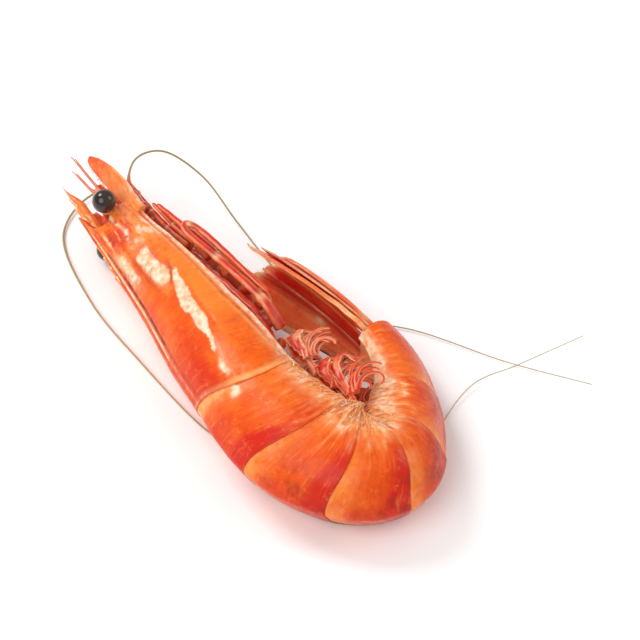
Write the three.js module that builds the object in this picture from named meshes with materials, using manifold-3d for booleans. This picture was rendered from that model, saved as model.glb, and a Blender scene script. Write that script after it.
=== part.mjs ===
// A whole raw argentine red shrimp with its shell, head, legs, swimmerets and tail fan on.
// It lies on its left side on a plate, curled towards its belly, so its right flank is up.
// Millimetres, +Z up. The plate is z = 0, and the mirror plane of the animal lies level above it.
import * as THREE from 'three';
import { mergeVertices } from 'three/addons/utils/BufferGeometryUtils.js';
import Module from 'manifold-3d';

// Scale of the whole, clearance between neighbouring pieces, and how much of the lower flank is
// pressed flat.
const LIFE_SIZE = 1.2;
const GAP = 0.3;
const FLAT_DEPTH = 0.35;

// Plan position of the mid-line at the front edge of the carapace, and the direction in which the body
// runs back from there, in degrees.
const HEAD_START = new THREE.Vector2(-22.7, 17.3);
const HEAD_HEADING = -62;

// The body from front to back. Each stretch has its length on the mid-line and how far the body bends
// towards the belly over it. Its other sizes hold at its hind end: from the mid-line to the back, to the
// belly and to either flank, how far the flank is lifted off the plate, how far the rim leans back at
// the belly and bows back on the flanks, and the depth of the hollow between the shell's lower edges.
const FRONT = { back: 5.5, belly: 5.0, flank: 4.4, lift: 0, lean: 0, bow: 0, hollow: 2.4 };
const CARAPACE = [
  { length: 10.5, turn: 2, back: 5.8, belly: 7.1, flank: 6.8, lift: 0, lean: 0, bow: 0, hollow: 3.2 },
  { length: 10.5, turn: 1, back: 6.5, belly: 8.9, flank: 8.4, lift: 0, lean: 0.4, bow: 0, hollow: 3.4 },
  { length: 10.5, turn: 0.5, back: 7.8, belly: 10.2, flank: 9.0, lift: 0, lean: 2.1, bow: 0.3, hollow: 3.2 },
  { length: 10.3, turn: 0, back: 8.4, belly: 9.3, flank: 8.8, lift: 0, lean: 2.3, bow: 4.4, hollow: 1.5 },
];
const SOMITES = [
  { length: 13, turn: 10, back: 9.6, belly: 10.8, flank: 8.5, lift: 0, lean: 5.6, bow: 2.5, hollow: 1.6 },
  { length: 10.2, turn: 30, back: 9.3, belly: 8.2, flank: 8.2, lift: 0, lean: 1.1, bow: 1.6, hollow: 2.2 },
  { length: 6.4, turn: 46, back: 8.9, belly: 6.5, flank: 7.8, lift: 0, lean: 0.9, bow: 1.2, hollow: 2.2 },
  { length: 5.3, turn: 48, back: 6.7, belly: 6.1, flank: 7.0, lift: 0, lean: 0.9, bow: 1.3, hollow: 2.0 },
  { length: 10.8, turn: 23, back: 5.0, belly: 5.8, flank: 6.0, lift: 0.2, lean: 1.8, bow: 0, hollow: 1.0 },
  { length: 14, turn: 30, back: 4.7, belly: 3.2, flank: 4.8, lift: 1.7, lean: 0, bow: 0, hollow: 0.5 },
];
const FAN = { length: 28, turn: 14, back: 4.0, belly: 3.6, flank: 5.2, lift: 2.4, lean: 0, bow: 0, hollow: 0 };
const STRETCHES = [...CARAPACE, ...SOMITES, FAN];

// Shell section: a ring of points with a fine keel along the back.
const SECTION_POINTS = 24;
const KEEL_HEIGHT = 0.5;

// Each plate of the tail stands a little proud of the next one at its hind rim.
const RIM_STEP = 0.45;

// Rostrum: a toothed blade in the mirror plane, which grows out of the keel and dips a little towards
// its tip. The first tooth stands behind the tip, and the last one in front of the root.
const ROSTRUM_REACH = 14;
const ROSTRUM_ROOT = 13;
const ROSTRUM_DIP = 0.8;
const ROSTRUM_DEPTH = 1.5;
const ROSTRUM_THICKNESS = 1.3;
const ROSTRUM_TEETH = 9;
const FIRST_TOOTH = 3;
const TEETH_SHORT_OF_ROOT = 1;
const TOOTH_HEIGHT = 0.9;

// Eyes on short stalks in front of the carapace.
const EYE_RADIUS = 2.05;
const EYE_FORWARD = 2.0;
const EYE_RAISE = 2.4;
const EYE_SPREAD = 6.0;
const STALK_ROOT_RAISE = 1.1;
const STALK_ROOT_SPREAD = 1.2;
const STALK_ROOT_RADIUS = 0.88;
const STALK_END_RADIUS = 1.2;

// The underside of the head and chest that carries the legs.
const CHEST_START = 13;
const CHEST_END = 38;
const CHEST_HALF_DEPTH = 1.4;
const CHEST_HALF_BREADTH = 3.1;

// Legs run forward under the belly in columns on each side. Levels count from the chest down, so that
// a negative level tucks the outermost leg up against the edge of the carapace. A leg leaves its root,
// reaches its column and level within the bend, and stretches forward to its front end. The last pair
// turns there at a knee and comes back to its tip one level further down.
const LEG_RADIUS = 0.6;
const LEG_LEVEL = LEG_RADIUS * 2 + GAP;
const LEG_TAPER = 0.55;
const LEG_ROOT_OFFSET = 2.1;
const LEG_BEND = 4;
const KNEE_REACH = 0.9;
const KNEE_DROP = 1.1;
const LEGS = [
  { root: 15, column: 2.4, level: 0, front: -1, tip: -1 },
  { root: 20, column: 4, level: 0, front: 1, tip: 1 },
  { root: 25, column: 1.5, level: 1, front: 2, tip: 2 },
  { root: 30, column: 3.2, level: 1, front: 7, tip: 7 },
  { root: 35, column: 5.6, level: -0.8, front: 10, tip: 30 },
];

// The pair of slender limbs between the legs and the mouth, which taper from root to tip.
const MAXILLIPED = { root: 10, tip: -9, depth: 0.7, offset: 0.95, rootRadius: 0.62, tipRadius: 0.32 };

// Swimmerets: one pair under each of the first five tail plates, all swept into the curl. The hind
// ones are narrow and lie one above the other where the curl is tight.
const SWIMMERET_HALF_THICKNESS = 0.32;
const SWIMMERET_SAG = 0.8;
const SWIMMERETS = [
  { direction: 115, length: 9, offset: 2.3, halfBreadth: 1.5 },
  { direction: 117, length: 9.5, offset: 2.3, halfBreadth: 1.4 },
  { direction: 109, length: 12, offset: 4.4, halfBreadth: 0.65 },
  { direction: 97, length: 5, offset: 2.3, halfBreadth: 0.5 },
  { direction: 108, length: 8, offset: 1.0, halfBreadth: 0.5 },
];

// Feelers in front of the carapace. A point has its place along the body, how far it lies towards the
// back and how far outwards. The antennule is a thick stem that ends in a thin lash, the scale a thin
// oval blade tilted inwards, and the last row is the stem of the long whisker.
const ANTENNULE = [[-0.5, -1.4, 1.3], [-6, -0.6, 1.4], [-10, 0.3, 1.3], [-18, 1.2, 1.8]];
const ANTENNULE_STEM = { share: 0.55, rootRadius: 1.05, endRadius: 0.83 };
const ANTENNULE_LASH = { rootRadius: 0.32, endRadius: 0.23 };
const ANTENNAL_SCALE = [[-0.6, -2.6, 3.9], [-7, -1.6, 4.6], [-14.5, -0.4, 3.8]];
const SCALE_HALF_BREADTH = 2.0;
const SCALE_HALF_THICKNESS = 0.4;
const SCALE_TILT = 0.5;
const WHISKER_STEM = [[-0.6, -3.9, 2.4], [-7, -4.4, 2.8]];
const STEM_SHARE = 0.05;
const STEM_RADIUS = 1.0;

// Whiskers: each long feeler leaves the head forwards, then falls to the plate. The right one turns
// back beside the legs and passes under the tail. The left one curls beside the back, follows the foot
// of the tail and leaves it behind. Their points have their plan position and their height.
const WHISKER_RADIUS = 0.4;
const WHISKER_TAPER = 0.4;
const WHISKER_HEIGHT = 0.45;
const FOOT_SHARE = 0.58;
const RIGHT_WHISKER = [
  [-21, 32.5, 10.5], [-16.5, 36.5, 8], [-10, 34, 4.5], [-3.5, 25.5, 1.2],
  [4, 14, WHISKER_HEIGHT], [12, 5, WHISKER_HEIGHT], [27, 1, WHISKER_HEIGHT],
  [42, -6, WHISKER_HEIGHT], [56, -11, WHISKER_HEIGHT],
];
const LEFT_WHISKER_BEFORE_TAIL = [
  [-21, 30.5, 3.8], [-24.5, 33.8, 1.6], [-30, 32.5, 0.8], [-34, 24, WHISKER_HEIGHT],
  [-28.5, 8, WHISKER_HEIGHT], [-18.5, -7, WHISKER_HEIGHT], [-9, -19.5, WHISKER_HEIGHT],
];
const LEFT_WHISKER_BEHIND_TAIL = [[36, -11.5, 0.8], [44, -7.5, 1.5], [55, -2, 2.5]];

// The fan is half closed: its blades form a gutter that opens towards the belly. A blade has its middle
// and half its breadth across the fan, its layer above the mirror line, its thickness and its length.
const FAN_DROP = 3.6;
const FAN_HALF_SPREAD = 6;
const TELSON = { middle: 0, halfBreadth: 2.2, layer: 1.9, thickness: 1.2, length: 23 };
const INNER_UROPOD = { middle: 2.5, halfBreadth: 2.1, layer: 0.6, thickness: 0.6, length: 25 };
const OUTER_UROPOD = { middle: 3.9, halfBreadth: 2.1, layer: -0.4, thickness: 0.6, length: 26.5 };

const COLOURS = {
  shell: 0xe8692f,
  tail: 0xc8412a,
  leg: 0xd0452f,
  whisker: 0x9a6a45,
  eye: 0x1a0f0c,
  stalk: 0x9c3326,
  swimmeret: 0xd9604a,
};

const SIDES = { right: 1, left: -1 };

const wasm = await Module();
wasm.setup();

// Sizes and bend of the body as smooth functions of the place along its mid-line.
const SIZE_NAMES = ['back', 'belly', 'flank', 'lift', 'lean', 'bow', 'hollow'];
const places = [0];
const sizes = SIZE_NAMES.map((name) => FRONT[name]);
const bends = [THREE.MathUtils.degToRad(HEAD_HEADING)];
for (const stretch of STRETCHES) {
  places.push(places.at(-1) + stretch.length);
  sizes.push(...SIZE_NAMES.map((name) => stretch[name]));
  bends.push(bends.at(-1) + THREE.MathUtils.degToRad(stretch.turn));
}
const sizeAlong = new THREE.CubicInterpolant(places, sizes, SIZE_NAMES.length);
const bendAlong = new THREE.LinearInterpolant(places, bends, 1);
const CARAPACE_END = places[CARAPACE.length];
const TAIL_END = places[CARAPACE.length + SOMITES.length];
const BODY_END = places.at(-1);

function onBody(place) {
  return THREE.MathUtils.clamp(place, 0, BODY_END);
}

function sizeAt(place) {
  const found = sizeAlong.evaluate(onBody(place));
  return Object.fromEntries(SIZE_NAMES.map((name, index) => [name, found[index]]));
}

function directionAt(place) {
  const heading = bendAlong.evaluate(onBody(place))[0];
  return new THREE.Vector2(Math.cos(heading), Math.sin(heading));
}

// The mid-line in the plan, walked in short steps from the front of the carapace to the end of the fan.
const WALK_STEP = 0.25;
const midLine = [HEAD_START];
for (let place = 0; place < BODY_END; place += WALK_STEP) {
  const step = directionAt(place + WALK_STEP / 2).multiplyScalar(WALK_STEP);
  midLine.push(step.add(midLine.at(-1)));
}

function midPointAt(place) {
  const index = Math.floor(onBody(place) / WALK_STEP);
  const rest = place - index * WALK_STEP;
  return directionAt(place).multiplyScalar(rest).add(midLine[index]);
}

// Height of the mirror plane: level over the carapace, then as low as the flank and the lift allow.
function mirrorHeightAt(place) {
  const { flank, lift } = sizeAt(Math.max(place, CARAPACE_END));
  return flank - FLAT_DEPTH + lift;
}

// A point of the animal from its place along the body, how far it lies from the mid-line towards the
// back, and how far it lies to the right of the mirror plane.
function bodyPoint(place, towardsBack, towardsRight) {
  const middle = midPointAt(place);
  const direction = directionAt(place);
  const x = middle.x + direction.y * towardsBack;
  const y = middle.y - direction.x * towardsBack;
  const z = mirrorHeightAt(place) + towardsRight;
  return new THREE.Vector3(x, y, Math.max(z, 0));
}

// A closed skin over a row of rings with equally many points. Seen from the first ring to the last
// one, the points of a ring run anticlockwise.
function skin(rings) {
  const count = rings[0].length;
  const last = (rings.length - 1) * count;
  const positions = rings.flat().flatMap((point) => point.toArray());
  const indices = [];
  for (let column = 0; column < count; column += 1) {
    const next = (column + 1) % count;
    for (let row = 0; row < last; row += count) {
      indices.push(row + column, row + next, row + count + column);
      indices.push(row + next, row + count + next, row + count + column);
    }
  }
  for (const ring of [rings[0], rings.at(-1)]) {
    const middle = new THREE.Vector3();
    ring.forEach((point) => middle.add(point));
    positions.push(...middle.divideScalar(count).toArray());
  }
  const frontHub = last + count;
  const hindHub = frontHub + 1;
  for (let column = 0; column < count; column += 1) {
    const next = (column + 1) % count;
    indices.push(frontHub, next, column);
    indices.push(hindHub, last + column, last + next);
  }
  const geometry = new THREE.BufferGeometry();
  geometry.setAttribute('position', new THREE.Float32BufferAttribute(positions, 3));
  geometry.setIndex(indices);
  return geometry;
}

// One ring of the shell: broadest a little below the middle, leaning back towards the belly, and grown
// outwards by a rim's step.
function shellRing(place, grow) {
  const { back, belly, flank, lean, bow, hollow } = sizeAt(place);
  const ring = [];
  for (let index = 0; index < SECTION_POINTS; index += 1) {
    const angle = (-index / SECTION_POINTS) * 2 * Math.PI;
    const up = Math.cos(angle);
    const side = Math.sin(angle);
    const keel = KEEL_HEIGHT * Math.max(up, 0) * Math.exp(-((side / 0.2) ** 2));
    const dip = hollow * Math.max(-up, 0) * Math.exp(-((side / 0.45) ** 2));
    const reach = up > 0 ? back * up : belly * up;
    const breadth = flank * side * (1 - 0.08 * up);
    const leaning = lean * ((1 - up) / 2) ** 1.5 + bow * side ** 2;
    ring.push(bodyPoint(place + leaning, reach + keel + dip + grow * up, breadth + grow * side));
  }
  return ring;
}

// A limb with elliptical rings along a curve: one half-size lies level, the other stands upright, and
// the roll tilts them about the curve.
function limb(points, steps, corners, halfSizesAt, roll = 0) {
  const curve = new THREE.CatmullRomCurve3(points, false, 'centripetal');
  const upwards = new THREE.Vector3(0, 0, 1);
  const rings = [];
  for (let step = 0; step <= steps; step += 1) {
    const share = step / steps;
    const centre = curve.getPointAt(share);
    const tangent = curve.getTangentAt(share);
    const level = new THREE.Vector3().crossVectors(upwards, tangent).normalize();
    const upright = new THREE.Vector3().crossVectors(tangent, level);
    level.applyAxisAngle(tangent, roll);
    upright.applyAxisAngle(tangent, roll);
    const [halfLevel, halfUpright] = halfSizesAt(share);
    const ring = [];
    for (let corner = 0; corner < corners; corner += 1) {
      const angle = ((corner + 0.5) / corners) * 2 * Math.PI;
      const point = centre.clone();
      point.addScaledVector(level, halfLevel * Math.cos(angle));
      point.addScaledVector(upright, halfUpright * Math.sin(angle));
      ring.push(point);
    }
    rings.push(ring);
  }
  return skin(rings);
}

function toSolid(geometry) {
  const bare = geometry.clone();
  bare.deleteAttribute('normal');
  bare.deleteAttribute('uv');
  const merged = mergeVertices(bare, 1e-4);
  const mesh = new wasm.Mesh({
    numProp: 3,
    vertProperties: new Float32Array(merged.attributes.position.array),
    triVerts: new Uint32Array(merged.index.array),
  });
  return new wasm.Manifold(mesh);
}

function toGeometry(solid) {
  const mesh = solid.getMesh();
  const geometry = new THREE.BufferGeometry();
  geometry.setAttribute('position', new THREE.BufferAttribute(new Float32Array(mesh.vertProperties), 3));
  geometry.setIndex(new THREE.BufferAttribute(new Uint32Array(mesh.triVerts), 1));
  return geometry;
}

const shrimp = new THREE.Group();

function addPiece(name, geometry, colour, roughness) {
  const material = new THREE.MeshStandardMaterial({ color: colour, roughness, metalness: 0 });
  const mesh = new THREE.Mesh(geometry, material);
  mesh.name = name;
  shrimp.add(mesh);
}

// The rostrum's outline in the plan: along the lower edge to the tip, then back over the teeth.
function rostrumBlade() {
  const crestAt = (place) => {
    const dip = ROSTRUM_DIP * THREE.MathUtils.smoothstep(-place, -ROSTRUM_ROOT, ROSTRUM_REACH);
    return sizeAt(place).back + KEEL_HEIGHT - dip;
  };
  const outline = [];
  const addPoint = (place, towardsBack) => {
    const point = bodyPoint(place, towardsBack, 0);
    outline.push(new THREE.Vector2(point.x, point.y));
  };
  for (const place of [ROSTRUM_ROOT, 0, -ROSTRUM_REACH / 2]) {
    addPoint(place, crestAt(place) - ROSTRUM_DEPTH);
  }
  addPoint(-ROSTRUM_REACH, crestAt(-ROSTRUM_REACH));
  const firstTooth = FIRST_TOOTH - ROSTRUM_REACH;
  const pitch = (ROSTRUM_ROOT - TEETH_SHORT_OF_ROOT - firstTooth) / ROSTRUM_TEETH;
  for (let tooth = 0; tooth < ROSTRUM_TEETH; tooth += 1) {
    const place = firstTooth + tooth * pitch;
    addPoint(place, crestAt(place));
    addPoint(place + 0.1 * pitch, crestAt(place) + TOOTH_HEIGHT);
    addPoint(place + 0.8 * pitch, crestAt(place + 0.8 * pitch));
  }
  const blade = new THREE.ExtrudeGeometry(new THREE.Shape(outline), {
    depth: ROSTRUM_THICKNESS,
    bevelEnabled: false,
  });
  blade.translate(0, 0, mirrorHeightAt(0) - ROSTRUM_THICKNESS / 2);
  return blade;
}

function addCarapace() {
  const rows = 14;
  const rings = [];
  for (let row = 0; row <= rows; row += 1) {
    rings.push(shellRing((CARAPACE_END * row) / rows, 0));
  }
  const whole = toSolid(skin(rings)).add(toSolid(rostrumBlade()));
  addPiece('carapace', toGeometry(whole), COLOURS.shell, 0.3);
}

function addSomites() {
  const rows = 4;
  SOMITES.forEach((somite, index) => {
    const end = places[CARAPACE.length + index + 1];
    const start = end - somite.length + GAP;
    const rings = [];
    for (let row = 0; row <= rows; row += 1) {
      const share = row / rows;
      rings.push(shellRing(start + (end - start) * share, RIM_STEP * (share - 1)));
    }
    addPiece(`somite_${index + 1}`, skin(rings), COLOURS.shell, 0.3);
  });
}

// Lowest line of the chest, from which the legs hang.
function chestLevel(place) {
  return -sizeAt(place).belly - 0.1;
}

function addChest() {
  const points = [];
  for (let place = CHEST_START; place <= CHEST_END; place += (CHEST_END - CHEST_START) / 4) {
    points.push(bodyPoint(place, chestLevel(place) + CHEST_HALF_DEPTH, 0));
  }
  const halfSizesAt = (share) => {
    const rounding = Math.sqrt(Math.sin(Math.PI * (0.1 + 0.8 * share)));
    return [CHEST_HALF_DEPTH * rounding, CHEST_HALF_BREADTH * rounding];
  };
  addPiece('chest', limb(points, 8, 12, halfSizesAt), COLOURS.leg, 0.5);
}

function legPoints(leg, sign) {
  const onLevel = (place, level, offset) => {
    const hang = GAP + LEG_RADIUS + level * LEG_LEVEL;
    return bodyPoint(place, chestLevel(place) - hang, offset * sign);
  };
  const points = [
    onLevel(leg.root, 0, LEG_ROOT_OFFSET),
    onLevel(leg.root - LEG_BEND * 0.3, leg.level / 2, (LEG_ROOT_OFFSET + leg.column) / 2),
    onLevel(leg.root - LEG_BEND, leg.level, leg.column),
    onLevel((leg.root + leg.front) / 2, leg.level, leg.column),
    onLevel(leg.front, leg.level, leg.column),
  ];
  if (leg.tip > leg.front) {
    const kneeLevel = leg.level + KNEE_DROP;
    points.push(onLevel(leg.front - KNEE_REACH, leg.level + KNEE_DROP / 2, leg.column));
    points.push(onLevel(leg.front + KNEE_REACH / 2, kneeLevel, leg.column));
    points.push(onLevel(leg.tip, kneeLevel, leg.column));
  }
  return points;
}

function addLegs() {
  const halfSizesAt = (share) => {
    const radius = LEG_RADIUS * (1 - LEG_TAPER * share ** 1.5);
    return [radius, radius * 1.1];
  };
  for (const [side, sign] of Object.entries(SIDES)) {
    LEGS.forEach((leg, index) => {
      const tube = limb(legPoints(leg, sign), 14, 6, halfSizesAt);
      addPiece(`leg_${index + 1}_${side}`, tube, COLOURS.leg, 0.4);
    });
  }
}

function addMaxillipeds() {
  const { root, tip, depth, offset, rootRadius, tipRadius } = MAXILLIPED;
  const halfSizesAt = (share) => {
    const radius = THREE.MathUtils.lerp(rootRadius, tipRadius, share);
    return [radius, radius];
  };
  for (const [side, sign] of Object.entries(SIDES)) {
    const points = [
      bodyPoint(root, chestLevel(root) - depth, offset * sign),
      bodyPoint(root / 2, chestLevel(root / 2) - depth, offset * sign),
      bodyPoint(0, chestLevel(0) - depth, offset * sign),
      bodyPoint(tip, chestLevel(0), offset * sign),
    ];
    addPiece(`maxilliped_${side}`, limb(points, 8, 6, halfSizesAt), COLOURS.leg, 0.4);
  }
}

// A straight round limb between two points in any direction.
function straightLimb(from, to, fromRadius, toRadius, corners) {
  const length = from.distanceTo(to);
  const turned = new THREE.CylinderGeometry(toRadius, fromRadius, length, corners, 3);
  const direction = to.clone().sub(from).normalize();
  turned.applyQuaternion(new THREE.Quaternion().setFromUnitVectors(new THREE.Vector3(0, 1, 0), direction));
  const middle = from.clone().lerp(to, 0.5);
  turned.translate(middle.x, middle.y, middle.z);
  return turned;
}

function addEyes() {
  for (const [side, sign] of Object.entries(SIDES)) {
    const centre = bodyPoint(-EYE_FORWARD, EYE_RAISE, EYE_SPREAD * sign);
    const eye = new THREE.SphereGeometry(EYE_RADIUS, 16, 10);
    eye.translate(centre.x, centre.y, centre.z);
    addPiece(`eye_${side}`, eye, COLOURS.eye, 0.08);
    const root = bodyPoint(-EYE_FORWARD, STALK_ROOT_RAISE, STALK_ROOT_SPREAD * sign);
    const reach = 1 - (EYE_RADIUS + GAP) / root.distanceTo(centre);
    const end = root.clone().lerp(centre, reach);
    const stalk = straightLimb(root, end, STALK_ROOT_RADIUS, STALK_END_RADIUS, 8);
    addPiece(`eyestalk_${side}`, stalk, COLOURS.stalk, 0.4);
  }
}

function toVector(point) {
  return new THREE.Vector3(...point);
}

// The line on the plate along the foot of the tail, under the overhang of its back.
function footOfTail() {
  const line = [];
  for (let place = CARAPACE_END + 4; place < TAIL_END - 18; place += 5) {
    const foot = bodyPoint(place, sizeAt(place).back * FOOT_SHARE, 0);
    line.push(foot.setZ(WHISKER_HEIGHT));
  }
  return line;
}

function addAntennule(side, points) {
  const halfSizesAt = (share) => {
    const onStem = share < ANTENNULE_STEM.share;
    const part = onStem ? ANTENNULE_STEM : ANTENNULE_LASH;
    const start = onStem ? 0 : ANTENNULE_STEM.share;
    const end = onStem ? ANTENNULE_STEM.share : 1;
    const radius = THREE.MathUtils.mapLinear(share, start, end, part.rootRadius, part.endRadius);
    return [radius, radius];
  };
  addPiece(`antennule_${side}`, limb(points, 10, 6, halfSizesAt), COLOURS.stalk, 0.4);
}

function addAntennalScale(side, points, sign) {
  const halfSizesAt = (share) => {
    const rounding = Math.sqrt(Math.sin(Math.PI * (0.18 + 0.77 * share)));
    return [SCALE_HALF_THICKNESS, SCALE_HALF_BREADTH * rounding];
  };
  const blade = limb(points, 8, 8, halfSizesAt, SCALE_TILT * sign);
  addPiece(`antennal_scale_${side}`, blade, COLOURS.shell, 0.3);
}

function addWhisker(side, points) {
  const halfSizesAt = (share) => {
    const radius = share < STEM_SHARE ? STEM_RADIUS : WHISKER_RADIUS * (1 - WHISKER_TAPER * share);
    return [radius, radius];
  };
  addPiece(`whisker_${side}`, limb(points, 80, 5, halfSizesAt), COLOURS.whisker, 0.5);
}

function addFeelers() {
  const routes = {
    right: RIGHT_WHISKER.map(toVector),
    left: [
      ...LEFT_WHISKER_BEFORE_TAIL.map(toVector),
      ...footOfTail(),
      ...LEFT_WHISKER_BEHIND_TAIL.map(toVector),
    ],
  };
  for (const [side, sign] of Object.entries(SIDES)) {
    const toPoints = (row) => row.map(([place, back, outwards]) => bodyPoint(place, back, outwards * sign));
    addAntennule(side, toPoints(ANTENNULE));
    addAntennalScale(side, toPoints(ANTENNAL_SCALE), sign);
    addWhisker(side, [...toPoints(WHISKER_STEM), ...routes[side]]);
  }
}

function addSwimmerets() {
  for (const [side, sign] of Object.entries(SIDES)) {
    SWIMMERETS.forEach(({ direction, length, offset, halfBreadth }, index) => {
      const end = places[CARAPACE.length + index + 1];
      const root = end - SOMITES[index].length / 2;
      const start = bodyPoint(root, -sizeAt(root).belly - 0.5, offset * sign);
      const angle = THREE.MathUtils.degToRad(direction);
      const along = new THREE.Vector3(Math.cos(angle), Math.sin(angle), 0);
      const middle = start.clone().addScaledVector(along, length / 2);
      const tip = start.clone().addScaledVector(along, length);
      middle.z += SWIMMERET_SAG * sign;
      const halfSizesAt = (share) => {
        const rounding = Math.sqrt(Math.sin(Math.PI * (0.12 + 0.82 * share)));
        return [SWIMMERET_HALF_THICKNESS, halfBreadth * rounding];
      };
      const blade = limb([start, middle, tip], 6, 8, halfSizesAt);
      addPiece(`swimmeret_${index + 1}_${side}`, blade, COLOURS.swimmeret, 0.4);
    });
  }
}

// A blade of the fan: a thin curved plate with a narrow root, a broad middle and a rounded tip.
function fanBlade({ middle, halfBreadth, layer, thickness, length }, sign) {
  const rows = 10;
  const across = 4;
  const rings = [];
  for (let row = 0; row <= rows; row += 1) {
    const share = row / rows;
    const place = TAIL_END + GAP + length * share;
    const swell = 0.5 + 0.5 * Math.sin(Math.min(share / 0.5, 1) * (Math.PI / 2));
    const rounding = Math.sqrt(1 - 0.94 * Math.max(0, (share - 0.5) / 0.5) ** 2.4);
    const spread = middle * (0.75 + 0.25 * swell);
    const upper = [];
    const lower = [];
    for (let column = 0; column <= across; column += 1) {
      const lateral = spread + halfBreadth * swell * rounding * ((2 * column) / across - 1);
      const depth = layer - FAN_DROP * (lateral / FAN_HALF_SPREAD) ** 2 * (0.4 + 0.6 * share);
      upper.push(bodyPoint(place, depth + thickness / 2, lateral * sign));
      lower.push(bodyPoint(place, depth - thickness / 2, lateral * sign));
    }
    const ring = [...upper, ...lower.reverse()];
    rings.push(sign > 0 ? ring.reverse() : ring);
  }
  return skin(rings);
}

function addFan() {
  addPiece('telson', fanBlade(TELSON, 1), COLOURS.tail, 0.3);
  for (const [side, sign] of Object.entries(SIDES)) {
    addPiece(`uropod_inner_${side}`, fanBlade(INNER_UROPOD, sign), COLOURS.tail, 0.3);
    addPiece(`uropod_outer_${side}`, fanBlade(OUTER_UROPOD, sign), COLOURS.tail, 0.3);
  }
}

addCarapace();
addSomites();
addChest();
addLegs();
addMaxillipeds();
addEyes();
addFeelers();
addSwimmerets();
addFan();

// The sizes above are those of an animal with a 42 mm carapace. The whole is scaled to one of 50 mm
// and stands with the middle of its footprint over the origin.
shrimp.scale.setScalar(LIFE_SIZE);
const footprint = new THREE.Box3().setFromObject(shrimp, true).getCenter(new THREE.Vector3());
shrimp.position.set(-footprint.x, -footprint.y, 0);

export default shrimp;
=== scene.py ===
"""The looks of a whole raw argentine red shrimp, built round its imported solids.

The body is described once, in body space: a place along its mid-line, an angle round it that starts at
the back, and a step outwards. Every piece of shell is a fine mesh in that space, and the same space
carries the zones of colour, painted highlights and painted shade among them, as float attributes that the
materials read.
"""

import math
import random
from functools import partial, reduce

import bpy
import numpy as np
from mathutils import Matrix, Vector


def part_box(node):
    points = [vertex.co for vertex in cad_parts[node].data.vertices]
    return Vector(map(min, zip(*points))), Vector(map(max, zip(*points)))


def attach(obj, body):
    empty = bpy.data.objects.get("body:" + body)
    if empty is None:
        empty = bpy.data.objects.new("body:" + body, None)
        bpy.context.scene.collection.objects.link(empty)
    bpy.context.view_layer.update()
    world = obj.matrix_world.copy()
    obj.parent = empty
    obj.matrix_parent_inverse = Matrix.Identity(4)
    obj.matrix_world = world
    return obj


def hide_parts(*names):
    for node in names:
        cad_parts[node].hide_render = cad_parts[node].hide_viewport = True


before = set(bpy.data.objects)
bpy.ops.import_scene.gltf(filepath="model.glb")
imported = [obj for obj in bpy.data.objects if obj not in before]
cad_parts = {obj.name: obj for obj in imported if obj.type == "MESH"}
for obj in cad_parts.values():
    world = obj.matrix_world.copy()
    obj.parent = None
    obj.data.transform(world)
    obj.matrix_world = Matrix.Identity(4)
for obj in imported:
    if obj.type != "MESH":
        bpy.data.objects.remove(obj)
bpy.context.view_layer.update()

# The driving sizes of the solids, repeated in their own units: millimetres of an animal with a 42 mm
# carapace, which LIFE_SIZE scales to one of 50 mm.
LIFE_SIZE = 1.2
METRES = LIFE_SIZE * 0.001
FLAT_DEPTH = 0.35
GAP = 0.3
HEAD_START = np.array([-22.7, 17.3])
HEAD_HEADING = -62

SIZE_NAMES = ("back", "belly", "flank", "lift", "lean", "bow", "hollow")
FRONT = (5.5, 5.0, 4.4, 0, 0, 0, 2.4)
# Length of each stretch, its turn in degrees, and its sizes at its hind end.
CARAPACE = [
    (10.5, 2, (5.8, 7.1, 6.8, 0, 0, 0, 3.2)),
    (10.5, 1, (6.5, 8.9, 8.4, 0, 0.4, 0, 3.4)),
    (10.5, 0.5, (7.8, 10.2, 9.0, 0, 2.1, 0.3, 3.2)),
    (10.3, 0, (8.4, 9.3, 8.8, 0, 2.3, 4.4, 1.5)),
]
SOMITES = [
    (13, 10, (9.6, 10.8, 8.5, 0, 5.6, 2.5, 1.6)),
    (10.2, 30, (9.3, 8.2, 8.2, 0, 1.1, 1.6, 2.2)),
    (6.4, 46, (8.9, 6.5, 7.8, 0, 0.9, 1.2, 2.2)),
    (5.3, 48, (6.7, 6.1, 7.0, 0, 0.9, 1.3, 2.0)),
    (10.8, 23, (5.0, 5.8, 6.0, 0.2, 1.8, 0, 1.0)),
    (14, 30, (4.7, 3.2, 4.8, 1.7, 0, 0, 0.5)),
]
FAN = (28, 14, (4.0, 3.6, 5.2, 2.4, 0, 0, 0))
STRETCHES = [*CARAPACE, *SOMITES, FAN]

KEEL_HEIGHT = 0.5
ROSTRUM_REACH = 14
ROSTRUM_ROOT = 13
ROSTRUM_DIP = 0.8
ROSTRUM_DEPTH = 1.5
ROSTRUM_THICKNESS = 1.3
ROSTRUM_TEETH = 9
FIRST_TOOTH = 3
TEETH_SHORT_OF_ROOT = 1
TOOTH_HEIGHT = 0.9

# Place, height towards the back and spread of the eyes and of the roots of their stalks.
EYE = (-2.0, 2.4, 6.0)
STALK_ROOT = (-2.0, 1.1, 1.2)
EYE_RADIUS = 2.05

CHEST_START = 13
CHEST_END = 38
CHEST_HALF_DEPTH = 1.4
CHEST_HALF_BREADTH = 3.1

LEG_RADIUS = 0.6
LEG_LEVEL = LEG_RADIUS * 2 + GAP
LEG_TAPER = 0.55
LEG_ROOT_OFFSET = 2.1
LEG_BEND = 4
KNEE_REACH = 0.9
KNEE_DROP = 1.1
# Root, column, level, front end and tip of each pair of legs.
LEGS = [
    (15, 2.4, 0, -1, -1), (20, 4, 0, 1, 1), (25, 1.5, 1, 2, 2), (30, 3.2, 1, 7, 7), (35, 5.6, -0.8, 10, 30),
]
MAXILLIPED_ROOT = 10
MAXILLIPED_TIP = -9
MAXILLIPED_DEPTH = 0.7
MAXILLIPED_OFFSET = 0.95
MAXILLIPED_RADII = (0.62, 0.32)

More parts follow.
